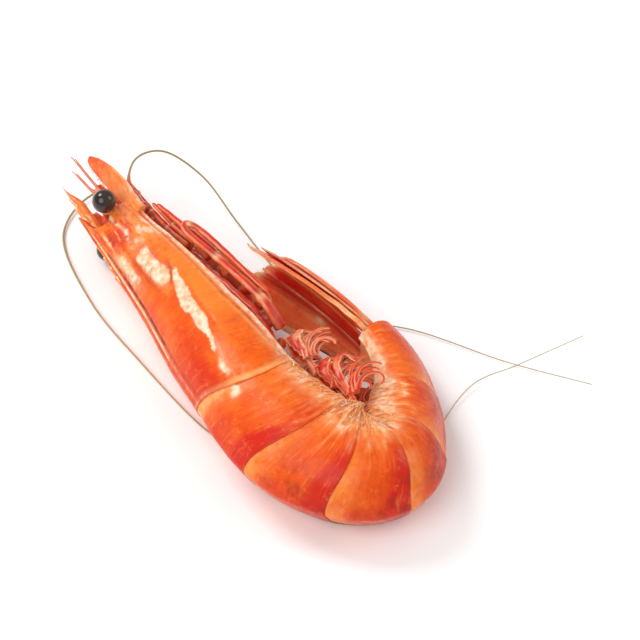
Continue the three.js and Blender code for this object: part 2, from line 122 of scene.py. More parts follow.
SWIMMERET_HALF_THICKNESS = 0.32
SWIMMERET_SAG = 0.8
STRIPS_A_SWIMMERET = 6
# Direction, length, offset from the mirror plane and half breadth of each pair of swimmerets.
SWIMMERETS = [
    (115, 9, 2.3, 1.5), (117, 9.5, 2.3, 1.4), (109, 12, 4.4, 0.65), (97, 5, 2.3, 0.5), (108, 8, 1.0, 0.5),
]

# Feelers, as place along the body, towards the back, and outwards.
ANTENNULE = [(-0.5, -1.4, 1.3), (-6, -0.6, 1.4), (-10, 0.3, 1.3), (-18, 1.2, 1.8)]
STEM_SHARE_OF_ANTENNULE = 0.55
ANTENNAL_SCALE = [(-0.6, -2.6, 3.9), (-7, -1.6, 4.6), (-14.5, -0.4, 3.8)]
SCALE_HALF_BREADTH = 2.0
SCALE_HALF_THICKNESS = 0.4
SCALE_TILT = 0.5
WHISKER_STEM = [(-0.6, -3.9, 2.4), (-7, -4.4, 2.8)]
STEM_SHARE = 0.05
# The long feelers run on through points in the axes of HEAD_START, each with a height where it isn't
# WHISKER_HEIGHT. The left one follows the foot of the tail, at FOOT_SHARE of the way to its back.
WHISKER_HEIGHT = 0.45
FOOT_SHARE = 0.58
RIGHT_WHISKER = [
    (-21, 32.5, 10.5), (-16.5, 36.5, 8), (-10, 34, 4.5), (-3.5, 25.5, 1.2), (4, 14), (12, 5), (27, 1),
    (42, -6), (56, -11),
]
LEFT_WHISKER_BEFORE_TAIL = [
    (-21, 30.5, 3.8), (-24.5, 33.8, 1.6), (-30, 32.5, 0.8), (-34, 24), (-28.5, 8), (-18.5, -7), (-9, -19.5),
]
LEFT_WHISKER_BEHIND_TAIL = [(36, -11.5, 0.8), (44, -7.5, 1.5), (55, -2, 2.5)]

FAN_DROP = 3.6
FAN_HALF_SPREAD = 6
# Middle, half breadth, layer, thickness and length of each blade of the fan.
TELSON = (0, 2.2, 1.9, 1.2, 23)
INNER_UROPOD = (2.5, 2.1, 0.6, 0.6, 25)
OUTER_UROPOD = (3.9, 2.1, -0.4, 0.6, 26.5)

SIDES = {"right": 1, "left": -1}

# ---- Body space
places = np.concatenate([[0], np.cumsum([length for length, _, _ in STRETCHES])])
bends = np.radians(HEAD_HEADING + np.concatenate([[0], np.cumsum([turn for _, turn, _ in STRETCHES])]))
sizes = np.array([FRONT] + [stretch[2] for stretch in STRETCHES], float)
RING_EDGES = places[len(CARAPACE):-1]
CARAPACE_END, TAIL_END, BODY_END = RING_EDGES[0], RING_EDGES[-1], places[-1]


def sizes_at(place):
    """The named sizes at each place, by the same smooth curve through the table as the solids have."""
    place = np.clip(np.asarray(place, float), 0, BODY_END)
    last = len(places) - 1
    i = np.clip(np.searchsorted(places, place, side="right") - 1, 0, last - 1)
    start, end = places[i], places[i + 1]
    at_first, at_last = i == 0, i == last - 1
    before = np.where(at_first, i + 1, i - 1)
    after = np.where(at_last, i, np.minimum(i + 2, last))
    place_before = np.where(at_first, 2 * start - end, places[np.maximum(i - 1, 0)])
    place_after = np.where(at_last, 2 * end - start, places[np.minimum(i + 2, last)])
    half = (end - start) / 2
    w_before, w_after = half / (start - place_before), half / (place_after - end)
    p = (place - start) / (end - start)
    p2, p3 = p * p, p * p * p
    weights = (
        (before, -w_before * p3 + 2 * w_before * p2 - w_before * p),
        (i, (1 + w_before) * p3 + (-1.5 - 2 * w_before) * p2 + (-0.5 + w_before) * p + 1),
        (i + 1, (-1 - w_after) * p3 + (1.5 + w_after) * p2 + 0.5 * p),
        (after, w_after * p3 - w_after * p2),
    )
    found = sum(weight[..., None] * sizes[row] for row, weight in weights)
    return {name: found[..., k] for k, name in enumerate(SIZE_NAMES)}


def direction_at(place):
    heading = np.interp(np.clip(place, 0, BODY_END), places, bends)
    return np.stack([np.cos(heading), np.sin(heading)], -1)


WALK_STEP = 0.25
walk = np.arange(0, BODY_END, WALK_STEP)
mid_line = np.vstack([HEAD_START, HEAD_START + np.cumsum(direction_at(walk + WALK_STEP / 2) * WALK_STEP, 0)])


def mid_point_at(place):
    place = np.asarray(place, float)
    i = np.floor(np.clip(place, 0, BODY_END) / WALK_STEP).astype(int)
    return mid_line[i] + direction_at(place) * (place - i * WALK_STEP)[..., None]


def mirror_height_at(place):
    found = sizes_at(np.maximum(place, CARAPACE_END))
    return found["flank"] - FLAT_DEPTH + found["lift"]


def as_fields(*values):
    """The values as float arrays of one shape."""
    return np.broadcast_arrays(*(np.asarray(value, float) for value in values))


def body_point(place, towards_back, towards_right):
    """Points from their place along the body, towards the back, and to the right of the mirror plane."""
    place, towards_back, towards_right = as_fields(place, towards_back, towards_right)
    middle, direction = mid_point_at(place), direction_at(place)
    x = middle[..., 0] + direction[..., 1] * towards_back
    y = middle[..., 1] - direction[..., 0] * towards_back
    z = mirror_height_at(place) + towards_right
    return np.stack([x, y, np.maximum(z, 0)], -1)


def shell_point(place, angle, grow):
    """Points of the shell from their ring, their angle from the back round the right side, and a step
    outwards."""
    place, angle, grow = as_fields(place, angle, grow)
    size = sizes_at(place)
    up, side = np.cos(angle), np.sin(angle)
    keel = KEEL_HEIGHT * np.maximum(up, 0) * np.exp(-((side / 0.2) ** 2))
    dip = size["hollow"] * np.maximum(-up, 0) * np.exp(-((side / 0.45) ** 2))
    reach = np.where(up > 0, size["back"], size["belly"]) * up
    breadth = size["flank"] * side * (1 - 0.08 * up)
    leaning = size["lean"] * ((1 - up) / 2) ** 1.5 + size["bow"] * side**2
    return body_point(place + leaning, reach + keel + dip + grow * up, breadth + grow * side)


# The frame puts the middle of the footprint over its origin. The right eye is a ball whose centre is
# known in both, so it gives the shift from one to the other.
eye_low, eye_high = (np.array(corner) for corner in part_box("eye_right"))
SHIFT = (eye_low + eye_high) / 2 - METRES * body_point(*EYE)
SHIFT[2] = 0


# ---- Noise, curves and meshes
def lattice(cell, seed):
    h = cell[..., 0] * 374761393 + cell[..., 1] * 668265263 + cell[..., 2] * 1442695041 + seed * 1274126177
    h = (h ^ (h >> 13)) * 1103515245 & 0xFFFFFFFF
    h = (h ^ (h >> 16)) * 1540483477 & 0xFFFFFFFF
    return ((h >> 8) & 0xFFFF) / 65535


def noise(points, size, seed=0, octaves=3):
    """Smooth noise from -1 to 1 with features of the given size."""
    total, weight, norm = 0, 1, 0
    for octave in range(octaves):
        q = np.asarray(points, float) / size * 2**octave + 31.7 * octave
        cell = np.floor(q).astype(np.int64)
        f = q - cell
        f = f * f * (3 - 2 * f)
        value = 0
        for corner in range(8):
            offset = np.array([corner & 1, corner >> 1 & 1, corner >> 2 & 1])
            w = np.prod(np.where(offset == 1, f, 1 - f), -1)
            value = value + w * lattice(cell + offset, seed + octave)
        total, norm, weight = total + weight * (2 * value - 1), norm + weight, weight / 2
    return total / norm


def limited(value):
    """The value, kept from 0 to 1."""
    return np.clip(value, 0, 1)


def ramp(low, high, value):
    """From 0 at the low end to 1 at the high one, with no corners."""
    t = limited((np.asarray(value, float) - low) / (high - low))
    return t * t * (3 - 2 * t)


def fade(low, high, value):
    return 1 - ramp(low, high, value)


def shares(count):
    return np.linspace(0, 1, count)


def bell(value, middle, width):
    return np.exp(-(((np.asarray(value, float) - middle) / width) ** 2))


STEPS_A_SPAN = 40


def spline(points, count):
    """Evenly spaced points along a centripetal Catmull-Rom curve through the given ones."""
    points = np.asarray(points, float)
    ends = np.vstack([2 * points[0] - points[1], points, 2 * points[-1] - points[-2]])
    t = np.linspace(0, 1, STEPS_A_SPAN, endpoint=False)[:, None]
    pieces = []
    for p0, p1, p2, p3 in zip(ends, ends[1:], ends[2:], ends[3:]):
        d0, d1, d2 = (max(np.linalg.norm(b - a) ** 0.5, 1e-4) for a, b in ((p0, p1), (p1, p2), (p2, p3)))
        m1 = ((p1 - p0) / d0 - (p2 - p0) / (d0 + d1) + (p2 - p1) / d1) * d1
        m2 = ((p2 - p1) / d1 - (p3 - p1) / (d1 + d2) + (p3 - p2) / d2) * d1
        pieces.append((2 * t**3 - 3 * t**2 + 1) * p1 + (t**3 - 2 * t**2 + t) * m1
                      + (3 * t**2 - 2 * t**3) * p2 + (t**3 - t**2) * m2)
    dense = np.vstack([*pieces, points[-1:]])
    run = np.concatenate([[0], np.cumsum(np.linalg.norm(np.diff(dense, axis=0), axis=1))])
    even = np.linspace(0, run[-1], count)
    return np.stack([np.interp(even, run, dense[:, k]) for k in range(3)], -1)


def unit(vectors):
    return vectors / np.maximum(np.linalg.norm(vectors, axis=-1, keepdims=True), 1e-9)


def strongest(*fields):
    """The greatest of several fields at each point."""
    return reduce(np.maximum, fields)


class Piece:
    """Gathers the parts of one mesh: their points, faces and float attributes."""

    def __init__(self):
        self.points, self.faces, self.values, self.count = [], [], {}, 0

    def add(self, points, **values):
        """A tube of rings, each a row of points, with a fan of triangles over each end."""
        rows, columns = points.shape[:2]
        ring = np.arange(columns)
        after = np.roll(ring, -1)
        near, last = np.arange(rows - 1)[:, None] * columns, (rows - 1) * columns
        far, hub = near + columns, np.full(columns, rows * columns)
        quads = np.stack([near + ring, near + after, far + after, far + ring], -1).reshape(-1, 4)
        fans = np.stack([after, ring, hub], -1), np.stack([last + ring, last + after, hub + 1], -1)
        self.faces += [faces + self.count for faces in (quads, *fans)]
        self.points += [points.reshape(-1, 3), points[:1].mean(1), points[-1:].mean(1)]
        for name in self.values | values:
            value = np.broadcast_to(np.asarray(values.get(name, 0.0), float), (rows, columns))
            column = self.values.setdefault(name, [np.zeros(self.count)] if self.count else [])
            column += [value.reshape(-1), value[:1].mean(1), value[-1:].mean(1)]
        self.count += rows * columns + 2

    def build(self, node, material, ending="_shell", name=None):
        """The mesh as a piece of the scene, in place of a node of the solids."""
        name = name or node + ending
        points = np.vstack(self.points) * METRES + SHIFT
        points[:, 2] = np.maximum(points[:, 2], 0)
        mesh = bpy.data.meshes.new(name)
        faces = [face for part in self.faces for face in part.tolist()]
        mesh.from_pydata(points.tolist(), [], faces)
        for key, column in self.values.items():
            attribute = mesh.attributes.new(key, "FLOAT", "POINT")
            attribute.data.foreach_set("value", np.concatenate(column).astype(np.float32))
        mesh.polygons.foreach_set("use_smooth", np.ones(len(faces), bool))
        mesh.materials.append(material)
        mesh.update()
        thing = link(bpy.data.objects.new(name, mesh))
        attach(thing, "root")
        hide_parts(node)


def link(thing):
    bpy.context.scene.collection.objects.link(thing)
    return thing


def turn_angles(count):
    """Evenly spaced angles round one turn."""
    return np.arange(count) / count * 2 * np.pi


def ring_frames(line):
    """A level vector and an upright one, across a line at each of its points."""
    tangent = unit(np.gradient(line, axis=0))
    level = np.cross([0, 0, 1], tangent)
    for k in range(len(level)):
        if np.linalg.norm(level[k]) < 0.15:
            level[k] = level[k - 1] if k else [1, 0, 0]
    level = unit(level)
    return level, np.cross(tangent, level)


def rolled(level, upright, roll):
    """The two vectors across a line, turned about it."""
    c, s = math.cos(roll), math.sin(roll)
    return level * c + upright * s, upright * c - level * s


def rings_round(line, level, upright, sideways, upwards):
    """Rings of points round a line, from their steps along its two vectors across."""
    return line[:, None] + level[:, None] * sideways[..., None] + upright[:, None] * upwards[..., None]


def tube(line, half_level, half_upright, corners):
    """Rings of an elliptical tube round a line, as an array of rows and columns."""
    level, upright = ring_frames(line)
    angle = turn_angles(corners)
    halves = (np.broadcast_to(half, len(line))[:, None] for half in (half_level, half_upright))
    half_level, half_upright = halves
    return rings_round(line, level, upright, np.cos(angle) * half_level, np.sin(angle) * half_upright)


# How thick the tip of a hair is, as a share of its root.
HAIR_TIP = 0.15


def hair(piece, line, radius, corners, **values):
    """A fine tapered hair along a line."""
    half = radius * np.linspace(1, HAIR_TIP, len(line))
    piece.add(tube(line, half, half, corners), **values)


# ---- Materials

# The light is strong, so every colour is a little darker than it shows.
SHADE = 0.93


def colour(red, green, blue):
    """A linear colour from its display values of 0 to 255."""
    display = np.array([red, green, blue]) / 255
    linear = SHADE * np.where(display <= 0.04045, display / 12.92, ((display + 0.055) / 1.055) ** 2.4)
    return (*linear, 1.0)


class Finish:
    """One node material round a Principled shader."""

    def __init__(self, name, **constants):
        self.material = bpy.data.materials.new(name)
        self.material.use_nodes = True
        self.tree = self.material.node_tree
        self.shader = self.tree.nodes["Principled BSDF"]
        for key, value in constants.items():
            self.shader.inputs[key.replace("_", " ")].default_value = value

    def put(self, socket, value):
        if isinstance(value, bpy.types.NodeSocket):
            self.tree.links.new(value, socket)
        else:
            socket.default_value = value

    def node(self, kind, settings, **inputs):
        made = self.tree.nodes.new("ShaderNode" + kind)
        for key, value in settings.items():
            setattr(made, key, value)
        for key, value in inputs.items():
            self.put(made.inputs[key.replace("_", " ")], value)
        return made

    def attribute(self, name):
        return self.node("Attribute", {"attribute_name": name}).outputs["Fac"]

    def math(self, operation, a, b=0.0):
        made = self.node("Math", {"operation": operation})
        for k, value in enumerate((a, b)):
            self.put(made.inputs[k], value)
        return made.outputs[0]

    def add(self, a, b):
        return self.math("ADD", a, b)

    def times(self, a, b):
        return self.math("MULTIPLY", a, b)

    def between(self, value, low, high, to_low=0.0, to_high=1.0):
        return self.node("MapRange", {"interpolation_type": "SMOOTHSTEP"}, Value=value, From_Min=low,
                         From_Max=high, To_Min=to_low, To_Max=to_high).outputs[0]

    def mix(self, share, a, b):
        made = self.node("Mix", {"data_type": "RGBA"})
        for k, value in ((0, share), (6, a), (7, b)):
            self.put(made.inputs[k], value)
        return made.outputs[2]

    def where(self):
        return self.node("TexCoord", {}).outputs["Object"]

    def stretched(self, along, around):
        """Coordinates on the shell, in mm along the body and round it, each divided by a grain size."""
        return self.node("CombineXYZ", {}, X=self.math("DIVIDE", self.attribute("along"), along),
                         Y=self.math("DIVIDE", self.attribute("around"), around)).outputs[0]

    def noise(self, vector, scale=1.0, detail=3.0, roughness=0.55):
        return self.node("TexNoise", {}, Vector=vector, Scale=scale, Detail=detail,
                         Roughness=roughness).outputs["Fac"]

    def painted(self, base, *layers):
        """The base under layers of colour, each with its share and its display colour."""
        for share, paint in layers:
            base = self.mix(share, base, colour(*paint))
        return base

    def bump(self, height, distance, strength=1.0, base=None):
        made = self.node("Bump", {}, Height=height, Distance=distance, Strength=strength)
        if base is not None:
            self.put(made.inputs["Normal"], base)
        return made.outputs[0]

    def finish(self, base, roughness, normal):
        for key, value in (("Base Color", base), ("Roughness", roughness), ("Normal", normal)):
            self.put(self.shader.inputs[key], value)
        return self.material


def wet_shell(name, light, deep):
    """Wet cooked shell: mottled, streaked across the body, speckled, with the zones of the mesh."""
    f = Finish(name, Coat_Weight=0.1, Coat_Roughness=0.1, Specular_IOR_Level=0.16,
               Subsurface_Weight=0.1, Subsurface_Scale=0.003)
    where = f.where()
    mottle = f.between(f.noise(where, 150, 5, 0.6), 0.3, 0.7)
    fibres = f.noise(f.stretched(0.5, 7.0), 1, 5, 0.7)
    crumbs = f.noise(where, 800, 4, 0.65)
    base = f.painted(
        f.mix(mottle, colour(*deep), colour(*light)),
        (f.attribute("gold"), (255, 146, 52)),
        (f.attribute("red"), (212, 34, 14)),
        (f.between(fibres, 0.52, 0.72, 0, 0.4), (255, 152, 80)),
        (f.between(fibres, 0.46, 0.3, 0, 0.45), (196, 48, 20)),
        (f.between(crumbs, 0.55, 0.75, 0, 0.35), (255, 156, 80)),
        (f.between(crumbs, 0.45, 0.28, 0, 0.4), (190, 46, 18)))
    # The pale zones, which are pale shell and painted highlights, break up in crumbs along their edges.
    pale = f.attribute("pale")
    broken = f.between(f.add(pale, f.times(crumbs, 0.8)), 0.7, 1.05)
    pale = f.add(f.times(pale, 0.45), f.times(f.times(broken, pale), 0.55))
    spots = f.between(f.noise(where, 900, 3, 0.6), 0.36, 0.62)
    cream = f.mix(spots, colour(246, 192, 142), colour(252, 228, 200))
    base = f.painted(f.mix(pale, base, cream), (f.attribute("dark"), (112, 26, 16)))
    roughness = f.between(f.noise(where, 420, 3), 0.3, 0.7, 0.24, 0.42)
    normal = f.bump(crumbs, 0.00012, 0.6, f.bump(fibres, 0.00018, 0.6))
    return f.finish(base, roughness, normal)


def plain_skin(name, light, deep, speckle=0.35, **constants):
    """Thin wet skin and shell of the limbs, the fan and the feelers."""
    gloss = {"Coat_Weight": 0.25, "Coat_Roughness": 0.12, "Specular_IOR_Level": 0.35}
    f = Finish(name, **{**gloss, **constants})
    where = f.where()
    base = f.painted(
        f.mix(f.between(f.noise(where, 260, 4), 0.3, 0.7), colour(*deep), colour(*light)),
        (f.attribute("gold"), (255, 140, 60)),
        (f.attribute("red"), (206, 36, 22)),
        (f.attribute("pale"), (255, 208, 156)),
        (f.attribute("dark"), (132, 28, 16)),
        (f.attribute("hairy"), (168, 142, 92)),
        (f.between(f.noise(where, 1000, 3), 0.52, 0.74, 0, speckle), (190, 48, 26)))
    roughness = f.between(f.noise(where, 600, 2), 0.3, 0.7, 0.26, 0.48)
    return f.finish(base, roughness, f.bump(f.noise(where, 700, 3), 0.00015, 0.5))


# ---- The head's shell
def degrees_from_back(angle):
    """The angle from the back, without its side: 0 along the back, 180 along the belly."""
    return np.degrees(np.arccos(np.clip(np.cos(angle), -1, 1)))


def shell_coordinates(place, angle):
    size = sizes_at(place)
    girth = (size["back"] + size["belly"]) / 2 + size["flank"]
    return {"along": place, "around": (angle - 2 * np.pi * (angle > np.pi)) * girth / 2}


def carapace_edge(place):
    """The angle of the lower margin from the back, in degrees."""
    return np.interp(place, [0, 8, 28, 34, CARAPACE_END], [134, 124, 123, 130, 143])


def patch(place, degrees, start, end, low, high, soft=1.0, soft_degrees=5.0):
    """A soft-edged field on the shell between two places and two angles from the back."""
    return (ramp(start - soft, start + soft, place) * fade(end - soft, end + soft, place)
            * ramp(low - soft_degrees, low + soft_degrees, degrees)
            * fade(high - soft_degrees, high + soft_degrees, degrees))


def front_margin(degrees):
    """How far the front margin lies behind the first ring: it runs on under the rostrum, is hollow
    beside the eye and stands in a spine below it."""
    return np.interp(degrees, [0, 6, 12, 20, 30, 44, 58, 70, 78, 86, 104, 122, 140, 180],
                     [-6, -4.6, -2.6, -1.2, -0.4, 0.2, 0.3, -1.2, -3.4, -1.6, -1.8, -0.6, 0.8, 1.0])


def carapace_relief(place, degrees):
    """How far the shell of the head stands out at each point: keels, ridges and grooves."""
    edge = carapace_edge(place)
    front = fade(27, 34, place)
    keel = 1 - 0.6 * ramp(28, 40, place)
    grow = (0.2 * bell(degrees, 0, 4) + 0.12 * bell(degrees, 10, 2.4) - 0.3 * bell(degrees, 0, 12)) * keel
    grow -= 0.14 * bell(degrees, 16, 2.0) * front * ramp(2, 9, place)
    # The groove behind the liver, and the low ridge that runs from it to the hind rim.
    groove = np.interp(place, [15, 17.3, 21.5, 24], [96, 89, 70, 52])
    grow -= 0.16 * bell(degrees, groove, 5) * patch(place, degrees, 15.5, 23, 48, 100, 1.5)
    grow += 0.3 * bell(degrees, 78, 5) * fade(-1, 9, place)
    ridge = np.interp(place, [18, 22, 28, 33, 37, CARAPACE_END], [90, 80, 75, 72, 67, 66])
    grow += 0.2 * bell(degrees, ridge, 7) * ramp(19, 23, place)
    grow -= 0.12 * bell(degrees, ridge + 13, 4) * ramp(20, 24, place) * fade(30, 36, place)
    grow -= 0.18 * bell(degrees, 50, 5) * patch(place, degrees, 9, 21, 30, 70, 2)
    grow += 0.18 * bell(degrees, edge - 2, 2.5) - 0.14 * bell(degrees, edge - 9, 4)
    grow -= 1.0 * ramp(edge, edge + 4, degrees)
    return grow


def carapace_zones(place, degrees, points):
    """Where the shell of the head is pale, red, yellow and dark."""
    warp = noise(points, 5, seed=21), noise(points, 4, seed=22)
    grain = noise(points, 1.3, seed=23)
    fine = noise(points, 0.7, seed=24)
    p, d = place + 0.9 * warp[0] + 0.4 * grain, degrees + 5 * warp[1] + 3 * grain
    edge = carapace_edge(place)
    area = partial(patch, p, d)
    crumbs = 0.75 + 0.5 * fine
    front = fade(7, 13, p)
    # Between the eye and the white patches the shell is streaked along the body.
    long_streaks = noise(np.stack([p / 3.5, d / 8, 0 * place], -1), 1.0, seed=26, octaves=3)
    # Two white patches, and a white streak behind them, are widest at their middles. The patches are partly
    # pale shell and partly painted highlight; the streak is a painted highlight.
    half = np.interp(p, [18, 21, 25, 31, 34, 37], [2.5, 5, 8, 7.5, 3.5, 1.5])
    off_streak = np.abs(d - np.interp(p, [18, 22, 27, 33, 37], [89, 80, 75, 72, 67]))
    patches_and_highlight = strongest(
        area(8, 16.8, 21, 43, 2.4, 7),
        1.15 * area(11, 20.5, 54, 81, 1.6, 6),
        1.3 * fade(half * 0.7, half * 1.3, off_streak) * area(19, 36.5, 0, 180, 0.8)) * crumbs
    outlines = 0.28 * bell(patches_and_highlight, 0.28, 0.16) * (0.7 + fine) * ramp(7, 11, p)
    pale = strongest(
        patches_and_highlight,
        # A painted highlight spot at the end of the streak, and a painted highlight line above it.
        1.15 * bell(p, 39.2, 1.5) * bell(d, 66 - 2 * (p - 39.2), 4.5),
        0.45 * bell(d, 73, 3) * area(35, 39, 60, 90, 1.5),
        # The ridge beside the keel, the keel, the hind rim and the lower margin; the pale lines on the ridge
        # and on the keel are partly painted highlights.
        1.4 * bell(degrees, 9.5, 2.6) * ramp(-4, 2, p) * (1 - 0.6 * ramp(27, 33, p)) * crumbs,
        0.45 * bell(degrees, 0, 2.5) * (0.6 + fine),
        0.42 * bell(place, CARAPACE_END - 0.4, 0.4) * (0.9 + 0.3 * fine),
        1.1 * bell(degrees, edge - 3, 4) * (0.8 + 0.6 * fine),
        # Low on the cheek, and low at the hind end.
        0.4 * area(-6, 5, 82, 116, 1.5, 6) * crumbs,
        0.65 * area(33, 44, 118, 150, 3, 8) * crumbs,
        # The streaks behind the eye.
        0.8 * front * ramp(0, 0.4, long_streaks) * ramp(22, 34, d) * ramp(0.5, 3, p),
        0.8 * bell(d, np.interp(p, [-1, 4, 9], [64, 72, 62]), 5) * front * (0.8 + fine))
    red = strongest(
        0.75 * ramp(24, 38, p) * fade(42, 68, d),
        0.8 * area(2.5, 7.8, 42, 74, 1.2, 5),
        0.35 * fade(2, 12, degrees),
        0.35 * area(20, 30, 14, 30, 4, 8),
        # Beyond the lower margin, where the shell turns under: partly the red of the legs there, partly
        # painted shade.
        0.8 * ramp(edge + 1, edge + 5, degrees))
    red = strongest(red * (1 - 0.7 * ramp(0, 0.3, long_streaks) * front),
                    0.75 * front * ramp(0.05, 0.4, -long_streaks))
    gold = strongest(
        0.5 * front,
        0.75 * area(5, 11, 24, 52, 2, 6),
        0.8 * area(-6, 12, 76, 112, 3, 8),
        0.6 * area(12, 33, 86, 118, 4, 8),
        0.5 * area(19, 23, 56, 70, 1.5, 5),
        0.9 * patch(p, degrees, 2, 40, edge - 17, edge - 11, 3, 2),
        bell(place, CARAPACE_END - 0.4, 0.7))
    # Dark lines lie beside the keel, in the groove, round the patches and beside the margins. Beyond the
    # lower margin, where the shell turns under, the dark is painted shade.
    groove = np.interp(p, [17.3, 21.5], [89, 71])
    dark = strongest(
        outlines,
        bell(degrees, 15.5, 2.2) * ramp(0, 8, p) * (1 - 0.7 * ramp(27, 33, p)) * (0.8 + fine),
        0.5 * bell(degrees, 4.5, 1.4) * fade(30, 38, p) * (0.7 + fine),
        0.55 * bell(d, groove, 2.8) * area(17, 21.5, 66, 92, 0.8),
        0.3 * bell(d, 50, 4) * area(10, 21, 30, 70, 1.5),
        0.5 * area(3.5, 6, 33, 45, 0.7, 4) * (fine > -0.1),
        0.5 * bell(degrees, edge - 9.5, 1.6) * area(2, 36, 90, 140, 2) * (0.7 + fine),
        0.3 * bell(place, CARAPACE_END - 1.2, 0.25) * (0.7 + fine),
        0.45 * ramp(edge + 2, edge + 12, degrees))
    pale = pale * (1 - limited(dark * 1.2))
    return {"pale": limited(pale), "red": red, "gold": gold, "dark": dark}


def shell_rows(front, start, run, run_grow, hind, end, columns):
    """The place, turn and step outwards of each point of a piece of shell, with its two rims, which are
    given as places from its ends and steps outwards."""
    front, hind = np.array(front), np.array(hind)
    places_along = np.concatenate([start + front[:, 0], run, end + hind[:, 0]])
    grow = np.concatenate([front[:, 1], run_grow, hind[:, 1]])
    turn = -turn_angles(columns) % (2 * np.pi)
    return (grid.copy() for grid in as_fields(places_along[:, None], turn, grow[:, None]))


def make_carapace(finish):
    # The front turns in to red flesh, and the hind rim rolls over its edge on to the tail.
    inside = [(0.2, -3.4), (0.5, -2.2), (0.5, -1.1), (0.2, -0.5), (0.0, -0.15)]
    rim = [(0.0, 0.03), (0.02, -0.04), (-0.02, -0.12), (-0.15, -0.25), (-0.6, -0.5), (-1.2, -0.9)]
    rows, columns = 200, 220
    run = np.linspace(0.15, CARAPACE_END, rows)
    lip = 0.03 * ramp(-1.6, -0.4, run - CARAPACE_END)
    place, turn, grow = shell_rows(inside, 0, run, lip, rim, CARAPACE_END, columns)
    flesh = (grow < -0.3) & (place < 5)
    degrees = degrees_from_back(turn)
    place += front_margin(degrees) * fade(0, 9, place)
    grow += carapace_relief(place, degrees)
    points = shell_point(place, turn, grow)
    grow += 0.07 * noise(points, 3.5, seed=3) + 0.035 * noise(points, 0.9, seed=4)
    points = shell_point(place, turn, grow)
    zones = carapace_zones(place, degrees, points)
    zones["dark"] = strongest(zones["dark"], flesh * (0.3 + 0.6 * noise(points, 1.5, seed=28)))
    zones["red"] = strongest(zones["red"], 0.8 * flesh)
    piece = Piece()
    piece.add(points, **zones, **shell_coordinates(place, turn))
    add_rostrum(piece)
    piece.build("carapace", finish)


def crest_at(place):
    dip = ROSTRUM_DIP * ramp(-ROSTRUM_ROOT, ROSTRUM_REACH, -np.asarray(place, float))
    return sizes_at(place)["back"] + KEEL_HEIGHT - dip


def add_rostrum(piece):
    """The blade over the front of the head: thick along its middle, thin along its edges, with teeth."""
    rows, columns = 220, 30
    place = np.linspace(-ROSTRUM_REACH, ROSTRUM_ROOT, rows)[:, None]
    first = FIRST_TOOTH - ROSTRUM_REACH
    pitch = (ROSTRUM_ROOT - TEETH_SHORT_OF_ROOT - first) / ROSTRUM_TEETH
    share = (place - first) / pitch
    toothed = (share >= 0) & (share < ROSTRUM_TEETH)
    tooth = toothed * np.interp(share - np.floor(share), [0, 0.12, 0.8, 1], [0, 1, 0, 0])
    crest = crest_at(place)
    top = crest + tooth * TOOTH_HEIGHT * 0.35
    tip = ramp(-ROSTRUM_REACH, -ROSTRUM_REACH + 6, place)
    bottom = crest - ROSTRUM_DEPTH * (1.25 + 0.5 * bell(place, -1, 4)) * tip - 0.02
    middle, half = (top + bottom) / 2, np.maximum((top - bottom) / 2, 0.03)
    half_thick = ROSTRUM_THICKNESS * 0.6 * (0.25 + 0.75 * ramp(-ROSTRUM_REACH, -2, place))
    angle = turn_angles(columns)
    up, side = np.cos(angle), -np.sin(angle)
    towards_back = middle + half * up
    points = body_point(place, towards_back, half_thick * side * (1 - 0.75 * ramp(0.1, 1.0, up)))
    # Light and dark lines run along it.
    level = up + 0.3 * noise(points, 2.5, seed=85)
    fine = 0.7 + noise(points, 0.8, seed=86)
    pale = (bell(level, 0.75, 0.2) + 0.8 * bell(level, 0.05, 0.2)) * fine
    dark = (0.5 * bell(level, 0.4, 0.14) + 0.4 * bell(level, -0.35, 0.14)) * fine
    piece.add(points, pale=limited(pale), dark=limited(dark), gold=0.5,
                          red=0.5 * ramp(0.3, 0.8, -level), along=place, around=towards_back)


# ---- The rings of the tail
PLEURA_EDGE = 146
# For each ring of the tail: the breadth of the light band behind the rim before it, the breadth and the
# strength of the red band before its own rim, the angle from the back where its pale flap begins, the
# strength of the streaks above the flap, and the number of tufts on each flap and where they begin.
RINGS = [
    (2.4, 3.2, 1.0, 112, 0.35, 90, 108),
    (2.3, 2.4, 0.95, 94, 0.85, 210, 96),
    (1.5, 1.7, 0.95, 90, 0.85, 190, 94),
    (1.1, 1.8, 0.6, 92, 0.9, 150, 96),
    (1.6, 2.2, 0.3, 104, 0.9, 110, 106),
    (2.0, 4.5, 0.3, 112, 0.4, 0, 108),
]
BROWN_RINGS = (1, 2, 3, 4)
CREAM_AND_HIGHLIGHT_RINGS = (4, 5)
# How far the flaps of the tail hang below the belly, by place: most where they close the curl.
DRAPE = ((54.8, 62, 66, 69, 73, 76.5, 80, 87, 90), (0.2, 2.3, 2.2, 2.0, 2.0, 2.2, 2.3, 0.5, 0))


